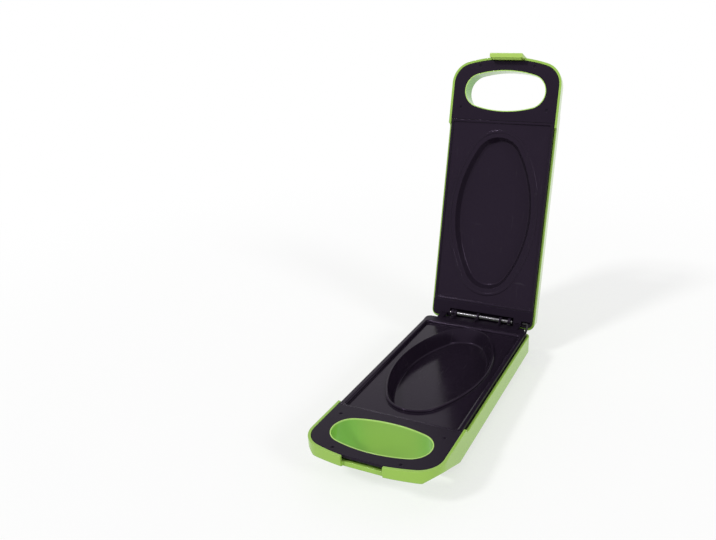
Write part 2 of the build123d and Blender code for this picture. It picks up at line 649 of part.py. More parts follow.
# The hinge
def cover(half):
    """Black cover behind a plate, with its shelf, rim band and case screw posts."""
    low = HALF_GAP
    sheet = plan(BEZEL_INSET, half.rear)
    inset = BEZEL_INSET + 0.5
    band = plan(inset, half.rear) - plan(inset + BAND_WIDTH, half.rear)
    piece = slab(sheet, low, low + COVER_THICK) + slab(band, low, BAND_DEEP)
    piece &= box((-FAR * 2, FAR * 2), (half.rear, half.cover_front), (-1, FAR))
    wide = (-LEDGE_HALF_WIDTH, LEDGE_HALF_WIDTH)
    back = half.cover_front - WEB_THICK
    piece += box(wide, (back, half.cover_front), (low + COVER_THICK / 2, LEDGE_TOP + LEDGE_DEEP))
    piece += ledge(half, (back, half.cover_front + LEDGE_REACH))
    return with_screw_holes(half, piece, False)


def lid_hinge_cover():
    piece = cover(LID)
    arch = bar_across(0, 0, 0, CHANNEL_RADIUS + CHANNEL_WALL, 2 * (CHANNEL_HALF_LENGTH + CHANNEL_WALL))
    arch &= box((-FAR, FAR), (-FAR, FAR), (HALF_GAP, FAR))
    piece += arch
    piece += box((-BLOCK_HALF_LENGTH - 1, BLOCK_HALF_LENGTH + 1), (3, BLOCK_S + BLOCK_HALF_WIDTH),
                 (HALF_GAP + COVER_THICK / 2, BLOCK_SEAT))
    piece -= bar_across(0, 0, 0, CHANNEL_RADIUS, 2 * CHANNEL_HALF_LENGTH)
    for x in (-LUG_X, LUG_X):
        lug = bar_across(0, 0, 0, EYE_RADIUS, LUG_THICK)
        lug += box((-LUG_THICK / 2, LUG_THICK / 2), (-EYE_RADIUS, EYE_RADIUS),
                   (0, CHANNEL_RADIUS))
        lug -= bar_across(0, 0, 0, PIN_RADIUS + PIN_FIT, LUG_THICK + 2)
        piece += Pos(x, 0, 0) * lug
    groove = LEAD_BASE_X - LEAD_LID_X + 2 * LEAD_GROOVE
    piece -= Pos((LEAD_BASE_X + LEAD_LID_X) / 2, 0, 0) * bar_across(0, 0, 0, LEAD_GROOVE, groove)
    piece -= peg(LEAD_LID_X, 0, LEAD_RADIUS + WIRE_ROOM, 0, FAR)
    return piece


def base_hinge_cover():
    piece = cover(BASE)
    root = BASE_REAR + BEZEL_INSET + 1
    for i in range(RIB_COUNT):
        x = RIB_MIDDLE + (i - (RIB_COUNT - 1) / 2) * RIB_PITCH
        rib = across([(0, HALF_GAP), (root, HALF_GAP), (root, RIB_LOW), (0, RIB_LOW)],
                     x - RIB_THICK / 2, x + RIB_THICK / 2)
        rib += Pos(x, 0, 0) * bar_across(0, 0, 0, EYE_RADIUS, RIB_THICK)
        rib -= Pos(x, 0, 0) * bar_across(0, 0, 0, PIN_RADIUS + PIN_FIT, RIB_THICK + 2)
        piece += rib
    slope = -COS_OPEN / SIN_OPEN
    shift = (STOP_GAP - HALF_GAP) / SIN_OPEN
    for x in (-STOP_X, STOP_X):
        pad = [(slope * HALF_GAP + shift, HALF_GAP), (root, HALF_GAP), (root, RIB_LOW),
               (slope * RIB_LOW + shift, RIB_LOW)]
        piece += across(pad, x - STOP_WIDTH / 2, x + STOP_WIDTH / 2)
    piece += box((-APRON_HALF_WIDTH, APRON_HALF_WIDTH), (APRON_REACH, root),
                 (APRON_LOW - APRON_THICK, APRON_LOW))
    gap = LEAD_RADIUS + WIRE_ROOM
    piece -= box((LEAD_BASE_X - gap, LEAD_BASE_X + gap), (BASE_REAR, BASE_REAR + NOTCH_DEEP),
                 (HALF_GAP + COVER_THICK, FAR))
    return piece


def hinge_pin():
    pin = bar_across(0, 0, 0, PIN_RADIUS, 2 * PIN_HALF_LENGTH)
    return chamfer(pin.edges().filter_by(GeomType.CIRCLE), 0.4)


# The latch on the lid's front edge
def latch():
    """Latch in its closed place: a bar with a round top on its pin and a nose at the foot."""
    half = LATCH_WIDTH / 2
    body = box((-half, half), (LATCH_INNER_S, LATCH_OUTER_S), (-LATCH_REACH, LATCH_PIVOT_DEPTH))
    body += bar_across(0, LATCH_PIVOT_S, LATCH_PIVOT_DEPTH, LATCH_THICK / 2, LATCH_WIDTH)
    front = [e for e in body.edges() if abs(e.center().Y + LATCH_OUTER_S) < 0.01
             and e.center().Z < LATCH_PIVOT_DEPTH - 1]
    body = fillet(front, LATCH_ROUND)
    nose_top = -HALF_GAP - CATCH_THICK - NOSE_GAP
    nose_half = LATCH_POCKET_HALF - NOSE_SETBACK
    nose = across([(LATCH_INNER_S + 0.5, nose_top), (LATCH_INNER_S - NOSE_LENGTH, nose_top),
                   (LATCH_INNER_S - NOSE_LENGTH, nose_top - NOSE_THICK * 0.4),
                   (LATCH_INNER_S, nose_top - NOSE_THICK),
                   (LATCH_INNER_S + 0.5, nose_top - NOSE_THICK)], -nose_half, nose_half)
    body += nose
    body -= bar_across(0, LATCH_PIVOT_S, LATCH_PIVOT_DEPTH, LATCH_PIN_RADIUS + LATCH_PIN_FIT,
                       LATCH_WIDTH + 2)
    return body


def latch_pin():
    length = 2 * (LATCH_POCKET_HALF + WALL) - 1
    return bar_across(0, LATCH_PIVOT_S, LATCH_PIVOT_DEPTH, LATCH_PIN_RADIUS, length)


# Screws, plugs and feet
def screw(radius, head_radius, head_height, length):
    """Pan head screw standing on depth 0, with its shank towards the parting plane."""
    head = Pos(0, 0, head_height / 2) * Cylinder(head_radius, head_height)
    head = fillet(head.edges().sort_by(Axis.Z)[-1], head_height * 0.4)
    shank = Pos(0, 0, (0.5 - length) / 2) * Cylinder(radius, length + 0.5)
    slot = head_radius * 1.1
    cross = Box(slot, CROSS_SLOT, head_height) + Box(CROSS_SLOT, slot, head_height)
    return head + shank - Pos(0, 0, head_height) * cross


def group(pieces):
    """Several separate solids that share one node."""
    return Compound([solid for piece in pieces for solid in piece.solids()])


def case_screws(half):
    seat = half.deep - SINK_DEEP
    shape = screw(SCREW_RADIUS, SCREW_HEAD_RADIUS, SCREW_HEAD_HEIGHT, CASE_SCREW_LENGTH)
    return group([Pos(x, -s, seat) * shape for x, s in half.posts])


def small_screws(places, seat, length=SMALL_SCREW_LENGTH - 1):
    shape = screw(SMALL_SCREW_RADIUS, SMALL_HEAD_RADIUS, SMALL_HEAD_HEIGHT, length)
    return group([Pos(x, -s, seat) * shape for x, s in places])


def plug(x, s):
    """Domed plug that closes a screw well on the lid."""
    top = LID.deep
    cap = peg(x, s, PLUG_RADIUS, top, top + PLUG_HEIGHT)
    cap = fillet(cap.edges().sort_by(Axis.Z)[-1], PLUG_HEIGHT * 0.7)
    return cap + peg(x, s, SINK_RADIUS - PLUG_FIT, top - PLUG_STEM, top + 0.5)


def foot(x, s):
    """Rubber foot pressed in a screw well of the base."""
    pad = peg(x, s, FOOT_RADIUS, BASE.deep, BASE.deep + FOOT_HEIGHT, FOOT_TIP_RADIUS)
    pad = fillet(pad.edges().sort_by(Axis.Z)[-1], FOOT_ROUND)
    return pad + peg(x, s, SINK_RADIUS - PLUG_FIT, BASE.deep - PLUG_STEM, BASE.deep + 0.5)


# Heaters
def heater(half):
    """Tubular heater: a hairpin under the pocket, with thin terminal pins at its rear ends."""
    depth = half.heater
    left = HEATER_HALF_SPREAD
    turn = HEATER_FRONT - left
    path = [
        Line((-left, -HEATER_REAR, depth), (-left, -turn, depth)),
        ThreePointArc((-left, -turn, depth), (0, -HEATER_FRONT, depth), (left, -turn, depth)),
        Line((left, -turn, depth), (left, -HEATER_REAR, depth)),
    ]
    route = Wire(path)
    tube = sweep(Plane(route @ 0, z_dir=route % 0) * Circle(TUBE_RADIUS), path=route)
    for x in (-left, left):
        pin = Cylinder(TERMINAL_RADIUS, TERMINAL_LENGTH + 1)
        tube += Pos(x, -HEATER_REAR + (TERMINAL_LENGTH - 1) / 2, depth) * Rot(90, 0, 0) * pin
    return tube


def heater_straps(half):
    reach = HEATER_HALF_SPREAD + TUBE_RADIUS + STRAP_OVERHANG
    straps = []
    for s in STRAP_S:
        strap = box((-reach, reach), (s - STRAP_WIDTH / 2, s + STRAP_WIDTH / 2),
                    (half.strap, half.strap + STRAP_THICK))
        strap = fillet(strap.edges().filter_by(Axis.Z), STRAP_ROUND)
        straps.append(strap - peg(0, s, SMALL_SCREW_RADIUS + SMALL_HOLE_FIT, 0, FAR))
    return group(straps)


def shield(half):
    """Thin tray between the hot parts and the casing."""
    wide = (-SHIELD_HALF_WIDTH, SHIELD_HALF_WIDTH)
    long = (SHIELD_REAR, SHIELD_FRONT)
    top = half.shield + SHIELD_THICK
    tray = box(wide, long, (half.shield - SHIELD_RIM, top))
    tray = fillet(tray.edges().filter_by(Axis.Z), SHIELD_CORNER)
    room = box((wide[0] + SHIELD_THICK, wide[1] - SHIELD_THICK),
               (long[0] + SHIELD_THICK, long[1] - SHIELD_THICK), (-1, half.shield))
    tray -= fillet(room.edges().filter_by(Axis.Z), SHIELD_CORNER - SHIELD_THICK)
    for x in (-SHIELD_POST_X, SHIELD_POST_X):
        for s in SHIELD_POST_S:
            tray -= peg(x, s, SMALL_SCREW_RADIUS + SMALL_HOLE_FIT, 0, FAR)
    return tray


def bracket(half, s, tall, hole_x):
    """Flat bracket that holds a sensor against the plate, on two small bosses."""
    depth = half.under + HEATER_GAP + tall
    reach = BRACKET_WIDTH / 2
    strip = box((-hole_x - reach, hole_x + reach), (s - reach, s + reach),
                (depth, depth + BRACKET_THICK))
    strip = fillet(strip.edges().filter_by(Axis.Z), BRACKET_ROUND)
    for x in (-hole_x, hole_x):
        strip -= peg(x, s, SMALL_SCREW_RADIUS + SMALL_HOLE_FIT, 0, FAR)
    return strip


def pairs(xs, ss):
    return [(x, s) for s in ss for x in xs]


def strap_screws(half):
    return small_screws(pairs((0,), STRAP_S), half.strap + STRAP_THICK)


def shield_screws(half):
    places = pairs((-SHIELD_POST_X, SHIELD_POST_X), SHIELD_POST_S)
    return small_screws(places, half.shield + SHIELD_THICK)


def plate_screws(half):
    ends = (half.plate_rear + PLATE_SCREW_INSET, PLATE_FRONT - PLATE_SCREW_INSET)
    return small_screws(pairs((-PLATE_SCREW_X, PLATE_SCREW_X), ends), LEDGE_TOP + LEDGE_DEEP)


# Control parts in the base
def along_s(x, depth, radius, low, high):
    """Round bar along the grill, between two values of s."""
    return Pos(x, -(low + high) / 2, depth) * Rot(90, 0, 0) * Cylinder(radius, high - low)


def base_casing():
    """Base casing with the cord inlet, the clamp's posts and a notch for the lead."""
    shell = casing(BASE, False)
    for x in (INLET_X - CLAMP_HALF_SPREAD, INLET_X + CLAMP_HALF_SPREAD):
        shell += peg(x, CLAMP_S, CLAMP_POST_RADIUS, CLAMP_SEAT, BASE_FLOOR + 1)
        shell -= peg(x, CLAMP_S, SMALL_SCREW_RADIUS + SCREW_FIT, CLAMP_SEAT - 1, CLAMP_SEAT + 7)
    shell -= along_s(INLET_X, INLET_DEPTH, INLET_NECK + PLUG_FIT, BASE_REAR - 1, BASE_REAR + WALL + 1)
    gap = LEAD_RADIUS + WIRE_ROOM
    shell -= box((LEAD_BASE_X - gap, LEAD_BASE_X + gap), (BASE_REAR - 1, BASE_REAR + WALL + 4),
                 (0, RIM_DROP * 2))
    return shell


def cord_grommet():
    """Inlet for the mains cord: a neck through the rear wall with a flange on each side."""
    outside = BASE_REAR - PLUG_FIT
    inside = BASE_REAR + WALL + PLUG_FIT
    piece = along_s(INLET_X, INLET_DEPTH, INLET_NECK, outside - INLET_OUT, inside + INLET_IN)
    piece += along_s(INLET_X, INLET_DEPTH, INLET_FLANGE, outside - INLET_FLANGE_THICK, outside)
    piece += along_s(INLET_X, INLET_DEPTH, INLET_FLANGE, inside, inside + INLET_FLANGE_THICK)
    return piece - along_s(INLET_X, INLET_DEPTH, INLET_BORE, 0, BASE_REAR * 3)


def cord_clamp():
    reach = CLAMP_HALF_SPREAD + CLAMP_POST_RADIUS
    bar = box((INLET_X - reach, INLET_X + reach), (CLAMP_S - CLAMP_WIDTH / 2, CLAMP_S + CLAMP_WIDTH / 2),
              (CLAMP_SEAT - CLAMP_THICK, CLAMP_SEAT))
    bar = fillet(bar.edges().filter_by(Axis.Z), 1.5)
    for x in (INLET_X - CLAMP_HALF_SPREAD, INLET_X + CLAMP_HALF_SPREAD):
        bar -= peg(x, CLAMP_S, SMALL_SCREW_RADIUS + SMALL_HOLE_FIT, 0, FAR)
    return bar


def clamp_screws():
    shape = screw(SMALL_SCREW_RADIUS, SMALL_HEAD_RADIUS, SMALL_HEAD_HEIGHT, CLAMP_THICK + 5)
    places = [INLET_X - CLAMP_HALF_SPREAD, INLET_X + CLAMP_HALF_SPREAD]
    return group([Pos(x, -CLAMP_S, CLAMP_SEAT - CLAMP_THICK) * Rot(180, 0, 0) * shape for x in places])


def terminal_block():
    half = TERMINAL_LENGTH_X / 2
    body = box((TERMINAL_X - half, TERMINAL_X + half),
               (CONTROL_S - TERMINAL_WIDTH / 2, CONTROL_S + TERMINAL_WIDTH / 2),
               (BLOCK_TOP, BASE_FLOOR))
    return fillet(body.edges().filter_by(Axis.Z), 1.0)


def thermostat():
    body = peg(0, THERMOSTAT_S, THERMOSTAT_RADIUS, SENSOR_TOP, SENSOR_TOP + THERMOSTAT_HEIGHT)
    return chamfer(body.edges().filter_by(GeomType.CIRCLE), 0.6)


def thermal_fuse():
    depth = SENSOR_TOP + FUSE_RADIUS
    body = bar_across(0, FUSE_S, depth, FUSE_RADIUS, FUSE_LENGTH)
    body = fillet(body.edges().filter_by(GeomType.CIRCLE), 0.8)
    leads = bar_across(0, FUSE_S, depth, FUSE_LEAD_RADIUS, FUSE_LENGTH + 2 * FUSE_LEAD_LENGTH)
    return body + leads


def base_wires():
    """Wires from the terminal block to the two pins of the base's heater."""
    left = -HEATER_HALF_SPREAD
    end = HEATER_REAR - TERMINAL_LENGTH - WIRE_FIT
    start = BLOCK_TOP - WIRE_FIT
    over = CLAMP_SEAT - CLAMP_THICK - 2 * SMALL_HEAD_HEIGHT
    first = wire([(left, CONTROL_S, start), (left, CONTROL_S, BASE.heater), (left, end, BASE.heater)],
                 WIRE_RADIUS, WIRE_BEND)
    x = TERMINAL_X + TERMINAL_LENGTH_X / 2 - 3
    second = wire([(x, CONTROL_S, start), (x, CONTROL_S, over), (-left, CONTROL_S, over),
                   (-left, CONTROL_S, BASE.heater), (-left, end, BASE.heater)],
                  WIRE_RADIUS, WIRE_BEND)
    return group([first, second])


def base_lead():
    """The base's share of the lead that crosses at the hinge axis."""
    end = TERMINAL_X - BLOCK_WIRE_STEP
    return wire([(LEAD_CROSS_X + LEAD_MEET_GAP / 2, 0, 0), (LEAD_BASE_X, 0, 0),
                 (LEAD_BASE_X, BASE_REAR / 2, LEAD_RADIUS * 4), (LEAD_BASE_X, CONTROL_S - 2, 8),
                 (LEAD_BASE_X - 2, LEAD_RUN_S - 3.5, LEAD_RUN_DEPTH - 1.5),
                 (POST_X - 5.8, LEAD_RUN_S, LEAD_RUN_DEPTH), (end + 9, LEAD_RUN_S, LEAD_RUN_DEPTH),
                 (end, CONTROL_S, LEAD_RUN_DEPTH + 3), (end, CONTROL_S, BLOCK_TOP - WIRE_FIT)],
                LEAD_RADIUS, LEAD_BEND)


# Parts in the lid
def lid_casing():
    return casing(LID, True) - slab(lens_oval(LENS_FIT), LID.deep - WALL - 1, LID.deep + 1)


def indicator_lens():
    lens = slab(lens_oval(), LENS_SEAT - LENS_FLANGE_THICK, LID.deep + LENS_RISE)
    top_edges = [e for e in lens.edges() if abs(e.center().Z - LID.deep - LENS_RISE) < 0.01]
    lens = fillet(top_edges, LENS_RISE * 0.8)
    return lens + slab(lens_oval(LENS_FLANGE), LENS_SEAT - LENS_FLANGE_THICK, LENS_SEAT)


def lamp_holder():
    cup = slab(lens_oval(LENS_FLANGE), HOLDER_FLOOR, HOLDER_TOP)
    cup -= slab(lens_oval(LENS_FLANGE - HOLDER_WALL), HOLDER_FLOOR + HOLDER_WALL, HOLDER_TOP + 1)
    for x in (LENS_X - LAMP_WIRE_X, LENS_X + LAMP_WIRE_X):
        cup -= peg(x, LENS_S, WIRE_RADIUS + WIRE_ROOM, HOLDER_FLOOR - 1, HOLDER_TOP)
    return cup


def indicator_lamp():
    depth = HOLDER_FLOOR + HOLDER_WALL + SEAT_GAP + LAMP_RADIUS
    bulb = Pos(LENS_X, 0, 0) * bar_across(0, LENS_S, depth, LAMP_RADIUS, LAMP_LENGTH)
    return fillet(bulb.edges().filter_by(GeomType.CIRCLE), LAMP_RADIUS * 0.6)


def connector_block():
    body = box((-BLOCK_HALF_LENGTH, BLOCK_HALF_LENGTH),
               (BLOCK_S - BLOCK_HALF_WIDTH, BLOCK_S + BLOCK_HALF_WIDTH), (BLOCK_SEAT, LID_BLOCK_TOP))
    return fillet(body.edges().filter_by(Axis.Z), 1.0)


def lid_wires():
    """Wires from the connector block to the lamp and to the pins of the lid's heater."""
    runs = []
    start = LID_BLOCK_TOP + WIRE_FIT
    end = HEATER_REAR - TERMINAL_LENGTH - WIRE_FIT
    low = HOLDER_FLOOR - 4
    for side in (-1, 1):
        near = side * (BLOCK_HALF_LENGTH - 2)
        far = side * HEATER_HALF_SPREAD
        runs.append(wire([(near, BLOCK_S, start), (near, BLOCK_S, start + 4), (far, BLOCK_S, start + 4),
                          (far, BLOCK_S + 8, LID.heater), (far, end, LID.heater)],
                         WIRE_RADIUS, WIRE_BEND))
        x = LENS_X + side * LAMP_WIRE_X
        runs.append(wire([(x, BLOCK_S, start), (x, BLOCK_S, low), (x, LENS_S, low),
                          (x, LENS_S, HOLDER_FLOOR + HOLDER_WALL)], WIRE_RADIUS, WIRE_BEND))
    return group(runs)


def lid_lead():
    """The lid's share of the lead, from the hinge axis to the connector block."""
    middle = BLOCK_SEAT + BLOCK_HEIGHT / 2
    return wire([(LEAD_CROSS_X - LEAD_MEET_GAP / 2, 0, 0), (LEAD_LID_X, 0, 0), (LEAD_LID_X, 0, 8),
                 (LEAD_LID_X, BLOCK_S, middle), (BLOCK_HALF_LENGTH + WIRE_FIT, BLOCK_S, middle)],
                LEAD_RADIUS, LEAD_BEND)


# From the closed layout to the open grill at rest
def in_base(piece):
    return mirror(piece, about=Plane.XY)


def in_lid(piece):
    return Rot(-OPEN_ANGLE, 0, 0) * piece


def in_latch(piece):
    pivot = Pos(0, -LATCH_PIVOT_S, LATCH_PIVOT_DEPTH)
    return in_lid(pivot * Rot(-LATCH_REST, 0, 0) * pivot.inverse() * piece)


def sensor_screws():
    groups = [small_screws(pairs((-x, x), (s,)), SENSOR_TOP + tall + BRACKET_THICK)
              for x, s, tall in SENSORS]
    return group(groups)


def named(prefix, names, places):
    return {prefix + name: place for name, place in zip(names, places)}


CORNERS = ("rear_left", "rear_right", "front_left", "front_right")
base_parts = {
    "base_casing": base_casing(),
    "base_bezel": bezel(BASE, False),
    "base_plate": cooking_plate(BASE, BEAD_HEIGHT, 0.0, SENSORS),
    "base_hinge_cover": base_hinge_cover(),
    "hinge_pin": hinge_pin(),
    "base_heater": heater(BASE),
    "base_heater_straps": heater_straps(BASE),
    "base_strap_screws": strap_screws(BASE),
    "base_heat_shield": shield(BASE),
    "base_shield_screws": shield_screws(BASE),
    "base_plate_screws": plate_screws(BASE),
    "base_case_screws": case_screws(BASE),
    "thermostat": thermostat(),
    "thermostat_bracket": bracket(BASE, THERMOSTAT_S, THERMOSTAT_HEIGHT, THERMOSTAT_HOLE_X),
    "thermal_fuse": thermal_fuse(),
    "fuse_bracket": bracket(BASE, FUSE_S, 2 * FUSE_RADIUS, FUSE_HOLE_X),
    "sensor_screws": sensor_screws(),
    "terminal_block": terminal_block(),
    "cord_grommet": cord_grommet(),
    "cord_clamp": cord_clamp(),
    "cord_clamp_screws": clamp_screws(),
    "base_wires": base_wires(),
    "base_lead": base_lead(),
}
base_parts.update(named("foot_", CORNERS, [foot(x, s) for x, s in BASE.posts]))
lid_parts = {
    "lid_casing": lid_casing(),
    "lid_bezel": bezel(LID, True),
    "lid_plate": cooking_plate(LID, LID_BEAD_HEIGHT, LID_BEAD_OFFSET),
    "lid_hinge_cover": lid_hinge_cover(),
    "lid_heater": heater(LID),
    "lid_heater_straps": heater_straps(LID),
    "lid_strap_screws": strap_screws(LID),
    "lid_heat_shield": shield(LID),
    "lid_shield_screws": shield_screws(LID),
    "lid_plate_screws": plate_screws(LID),
    "lid_case_screws": case_screws(LID),
    "indicator_lens": indicator_lens(),
    "lamp_holder": lamp_holder(),
    "indicator_lamp": indicator_lamp(),
    "lid_connector_block": connector_block(),
    "lid_wires": lid_wires(),
    "lid_lead": lid_lead(),
    "latch_pin": latch_pin(),
}
lid_parts.update(named("lid_plug_", CORNERS, [plug(x, s) for x, s in LID.posts]))

placed = {name: in_base(piece) for name, piece in base_parts.items()}
placed.update({name: in_lid(piece) for name, piece in lid_parts.items()})
placed["latch"] = in_latch(latch())

# The origin lies under the middle of the open grill, on the surface that its feet stand on
whole = Compound([solid for piece in placed.values() for solid in piece.solids()]).bounding_box()
HOME = Pos(0, -(whole.min.Y + whole.max.Y) / 2, -whole.min.Z)

os.makedirs("parts", exist_ok=True)
for name, piece in placed.items():
    export_step(HOME * piece, "parts/" + name + ".step")
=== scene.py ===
"""Finishes and studio for a hinged contact grill.

The grill has two coated plates and a hand hole at its front, and stands open. Each operator
dresses one piece or one group of like pieces. Three small pieces are made here; the rest come
with the frame.
"""

import json
import math

import bmesh
import bpy
from bpy.props import FloatProperty, FloatVectorProperty, PointerProperty
from mathutils import Matrix, Vector


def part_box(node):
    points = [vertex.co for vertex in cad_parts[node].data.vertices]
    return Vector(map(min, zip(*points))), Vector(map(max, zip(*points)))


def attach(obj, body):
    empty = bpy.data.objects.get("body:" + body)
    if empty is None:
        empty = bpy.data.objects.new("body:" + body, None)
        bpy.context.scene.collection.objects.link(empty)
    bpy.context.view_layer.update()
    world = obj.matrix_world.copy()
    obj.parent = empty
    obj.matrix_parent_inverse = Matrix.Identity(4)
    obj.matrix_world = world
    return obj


bl_info = {
    "name": "Contact Grill Finish",
    "version": (1, 0, 0),
    "blender": (4, 5, 0),
    "location": "View3D > Sidebar > Grill",
    "description": "Gives a contact grill its plastics, coatings, metals and a plain studio",
    "category": "Object",
}

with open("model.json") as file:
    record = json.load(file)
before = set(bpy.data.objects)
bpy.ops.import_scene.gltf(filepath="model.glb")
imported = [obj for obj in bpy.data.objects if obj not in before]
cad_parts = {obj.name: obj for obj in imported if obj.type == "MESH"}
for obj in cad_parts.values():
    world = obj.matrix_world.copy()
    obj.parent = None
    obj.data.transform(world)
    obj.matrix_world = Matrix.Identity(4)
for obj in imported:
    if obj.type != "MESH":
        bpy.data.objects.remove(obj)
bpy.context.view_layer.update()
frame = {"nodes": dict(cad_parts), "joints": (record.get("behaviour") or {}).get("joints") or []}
NODES = frame["nodes"]
JOINTS = {joint["name"]: joint for joint in frame["joints"]}

# Directions of the two halves at rest; each is measured from the hinge axis

HINGE = Vector(JOINTS["lid_hinge"]["pos_m"])
ACROSS = Vector((1.0, 0.0, 0.0))
UPWARD = Vector((0.0, 0.0, 1.0))
LID_ALONG = Vector((0.0, 0.27564, 0.96126))     # from the hinge to the handle, with the lid open
LID_OUTWARD = Vector((0.0, 0.96126, -0.27564))  # from the plate to the lid's back
BASE_ALONG = Vector((0.0, -1.0, 0.0))           # from the hinge to the base's front
BASE_OUTWARD = Vector((0.0, 0.0, -1.0))         # from the plate to the floor
MILLIMETRE = 0.001                              # metres


# Sizes and colours a user would change

def colour_property(name, description, default):
    """A colour that shows as a swatch in the sidebar."""
    return FloatVectorProperty(name=name, description=description, default=default,
                               subtype="COLOR", size=3, min=0.0, max=1.0)


class GrillColours(bpy.types.PropertyGroup):
    """Colours of the grill's visible materials."""

    shell: colour_property("Shell", "Glossy plastic of the lid and base", (0.282, 0.478, 0.072))
    latch: colour_property("Latch", "Plastic of the front latch", (0.360, 0.540, 0.095))
    plug: colour_property("Plug", "Plastic of the lid's screw plugs", (0.130, 0.400, 0.060))
    trim: colour_property("Trim", "Satin plastic round the plates", (0.0085, 0.0055, 0.0110))
    coating: colour_property("Coating", "Non-stick coating of the plates",
                             (0.0120, 0.0080, 0.0150))
    lens: colour_property("Lens", "Clear dark red cap over the lamp", (0.100, 0.020, 0.030))


class GrillRelief(bpy.types.PropertyGroup):
    """Shallow relief and rounding of the surfaces."""

    crease_height: FloatProperty(name="Crease height",
                                 description="How far the lid's two creases rise",
                                 default=0.0011, min=0.0, max=0.003, unit="LENGTH")
    crease_width: FloatProperty(name="Crease width", description="Half width of a crease",
                                default=0.0020, min=0.0005, max=0.008, unit="LENGTH")
    edge_radius: FloatProperty(name="Edge radius", description="Softening of moulded edges",
                               default=0.0009, min=0.0, max=0.002, unit="LENGTH")


class GrillStudio(bpy.types.PropertyGroup):
    """Camera, lamps and floor."""

    camera_place: FloatVectorProperty(name="Camera", description="Place of the camera",
                                      default=(0.2492, -0.6388, 0.4069), subtype="TRANSLATION",
                                      size=3, unit="LENGTH")
    camera_turn: FloatProperty(name="Turn", description="Turn of the view round the grill",
                               default=math.radians(24.09), subtype="ANGLE")
    camera_tilt: FloatProperty(name="Tilt", description="Downward tilt of the view",
                               default=math.radians(21.11), subtype="ANGLE")
    camera_roll: FloatProperty(name="Roll", description="Roll of the view",
                               default=math.radians(1.1), subtype="ANGLE")
    lens: FloatProperty(name="Lens", description="Focal length on a 36 mm sensor",
                        default=34.9, min=10.0, max=200.0)
    shift: FloatProperty(name="Shift", description="Sideways shift of the frame", default=-0.0866,
                         min=-0.5, max=0.5)
    sky: FloatProperty(name="Sky light", description="Strength of the even light", default=0.62,
                       min=0.0, max=2.0)
    key: FloatProperty(name="Key light", description="Strength of the main lamp", default=1.25,
                       min=0.0, max=10.0)
    floor: colour_property("Floor", "Plain pale floor", (0.93, 0.93, 0.93))


# Building node trees

class Nodes:
    """Adds nodes to one node tree, from left to right, and joins their sockets."""

    COLUMN, ROW, ROWS = 190, -40, 5    # spacing of the nodes in the editor

    def __init__(self, tree):
        self.tree = tree
        self.count = 0

    def add(self, kind, inputs=None, **settings):
        """A new node with its settings and its inputs set or linked."""
        node = self.tree.nodes.new(kind)
        node.location = (self.COLUMN * self.count, self.ROW * (self.count % self.ROWS))
        self.count += 1
        for key, value in settings.items():
            setattr(node, key, value)
        for key, value in (inputs or {}).items():
            self.feed(node.inputs[key], value)
        return node

    def feed(self, socket, value):
        """Links a socket to an output, or sets its value."""
        if isinstance(value, bpy.types.NodeSocket):
            self.tree.links.new(value, socket)
        else:
            socket.default_value = value

    def math(self, operation, *values):
        """One calculation on up to three numbers."""
        node = self.add("ShaderNodeMath", dict(enumerate(values)), operation=operation)
        return node.outputs[0]

    def times(self, first, second):
        """Product of two numbers or masks."""
        return self.math("MULTIPLY", first, second)

    def inverse(self, mask):
        """1 where a mask is 0, and 0 where it is 1."""
        return self.math("SUBTRACT", 1.0, mask)

    def dot(self, vector, direction):
        """How far a point lies along a direction."""
        node = self.add("ShaderNodeVectorMath", {0: vector, 1: direction}, operation="DOT_PRODUCT")
        return node.outputs["Value"]

    def ramp(self, value, low, high):
        """0 below low, 1 above high, and a soft rise between."""
        node = self.add("ShaderNodeMapRange", {0: value, 1: low, 2: high}, clamp=True,
                        interpolation_type="SMOOTHSTEP")
        return node.outputs[0]

    def between(self, mask, low, high):
        """A number that runs from low to high with a mask."""
        node = self.add("ShaderNodeMapRange", {0: mask, 3: low, 4: high}, clamp=True)
        return node.outputs[0]

    def noise(self, place, scale, detail=2.0, roughness=0.5):
        """Even grain; scale is in patches a metre."""
        node = self.add("ShaderNodeTexNoise", {"Vector": place, "Scale": scale, "Detail": detail,
                                               "Roughness": roughness})
        return node.outputs["Fac"]

    def mix(self, factor, first, second):
        """One colour laid over another."""
        node = self.add("ShaderNodeMix", data_type="RGBA")
        self.feed(node.inputs["Factor"], factor)
        self.feed(node.inputs[6], first)
        self.feed(node.inputs[7], second)
        return node.outputs[2]

    def place(self):
        """Coordinates fixed to the piece, in metres."""
        return self.add("ShaderNodeTexCoord").outputs["Object"]

    def place_from(self, origin):
        """Coordinates fixed to the piece, from a point of it."""
        node = self.add("ShaderNodeVectorMath", {0: self.place(), 1: origin}, operation="SUBTRACT")
        return node.outputs[0]

    def facing(self):
        """Direction in which the surface faces, fixed to the piece."""
        return self.add("ShaderNodeTexCoord").outputs["Normal"]

    def world_facing(self):
        """Direction in which the surface faces, in the room."""
        return self.add("ShaderNodeNewGeometry").outputs["Normal"]

    def seen(self):
        """1 where the camera, gloss or glass looks, 0 where the surface only gives light."""
        rays = self.add("ShaderNodeLightPath").outputs
        seen = self.math("MAXIMUM", rays["Is Camera Ray"], rays["Is Glossy Ray"])
        return self.math("MAXIMUM", seen, rays["Is Transmission Ray"])


def rgba(colour):
    """A colour with full alpha."""
    return (*colour, 1.0)


def new_group(name, inputs, outputs):
    """A shader node group with named sockets: its inner nodes, its input and its output ends."""
    tree = bpy.data.node_groups.new(name, "ShaderNodeTree")
    for label, kind, default in inputs:
        socket = tree.interface.new_socket(label, in_out="INPUT", socket_type=kind)
        socket.default_value = default
    for label, kind in outputs:
        tree.interface.new_socket(label, in_out="OUTPUT", socket_type=kind)
    nodes = Nodes(tree)
    return nodes, nodes.add("NodeGroupInput").outputs, nodes.add("NodeGroupOutput").inputs


# Effects that several materials share

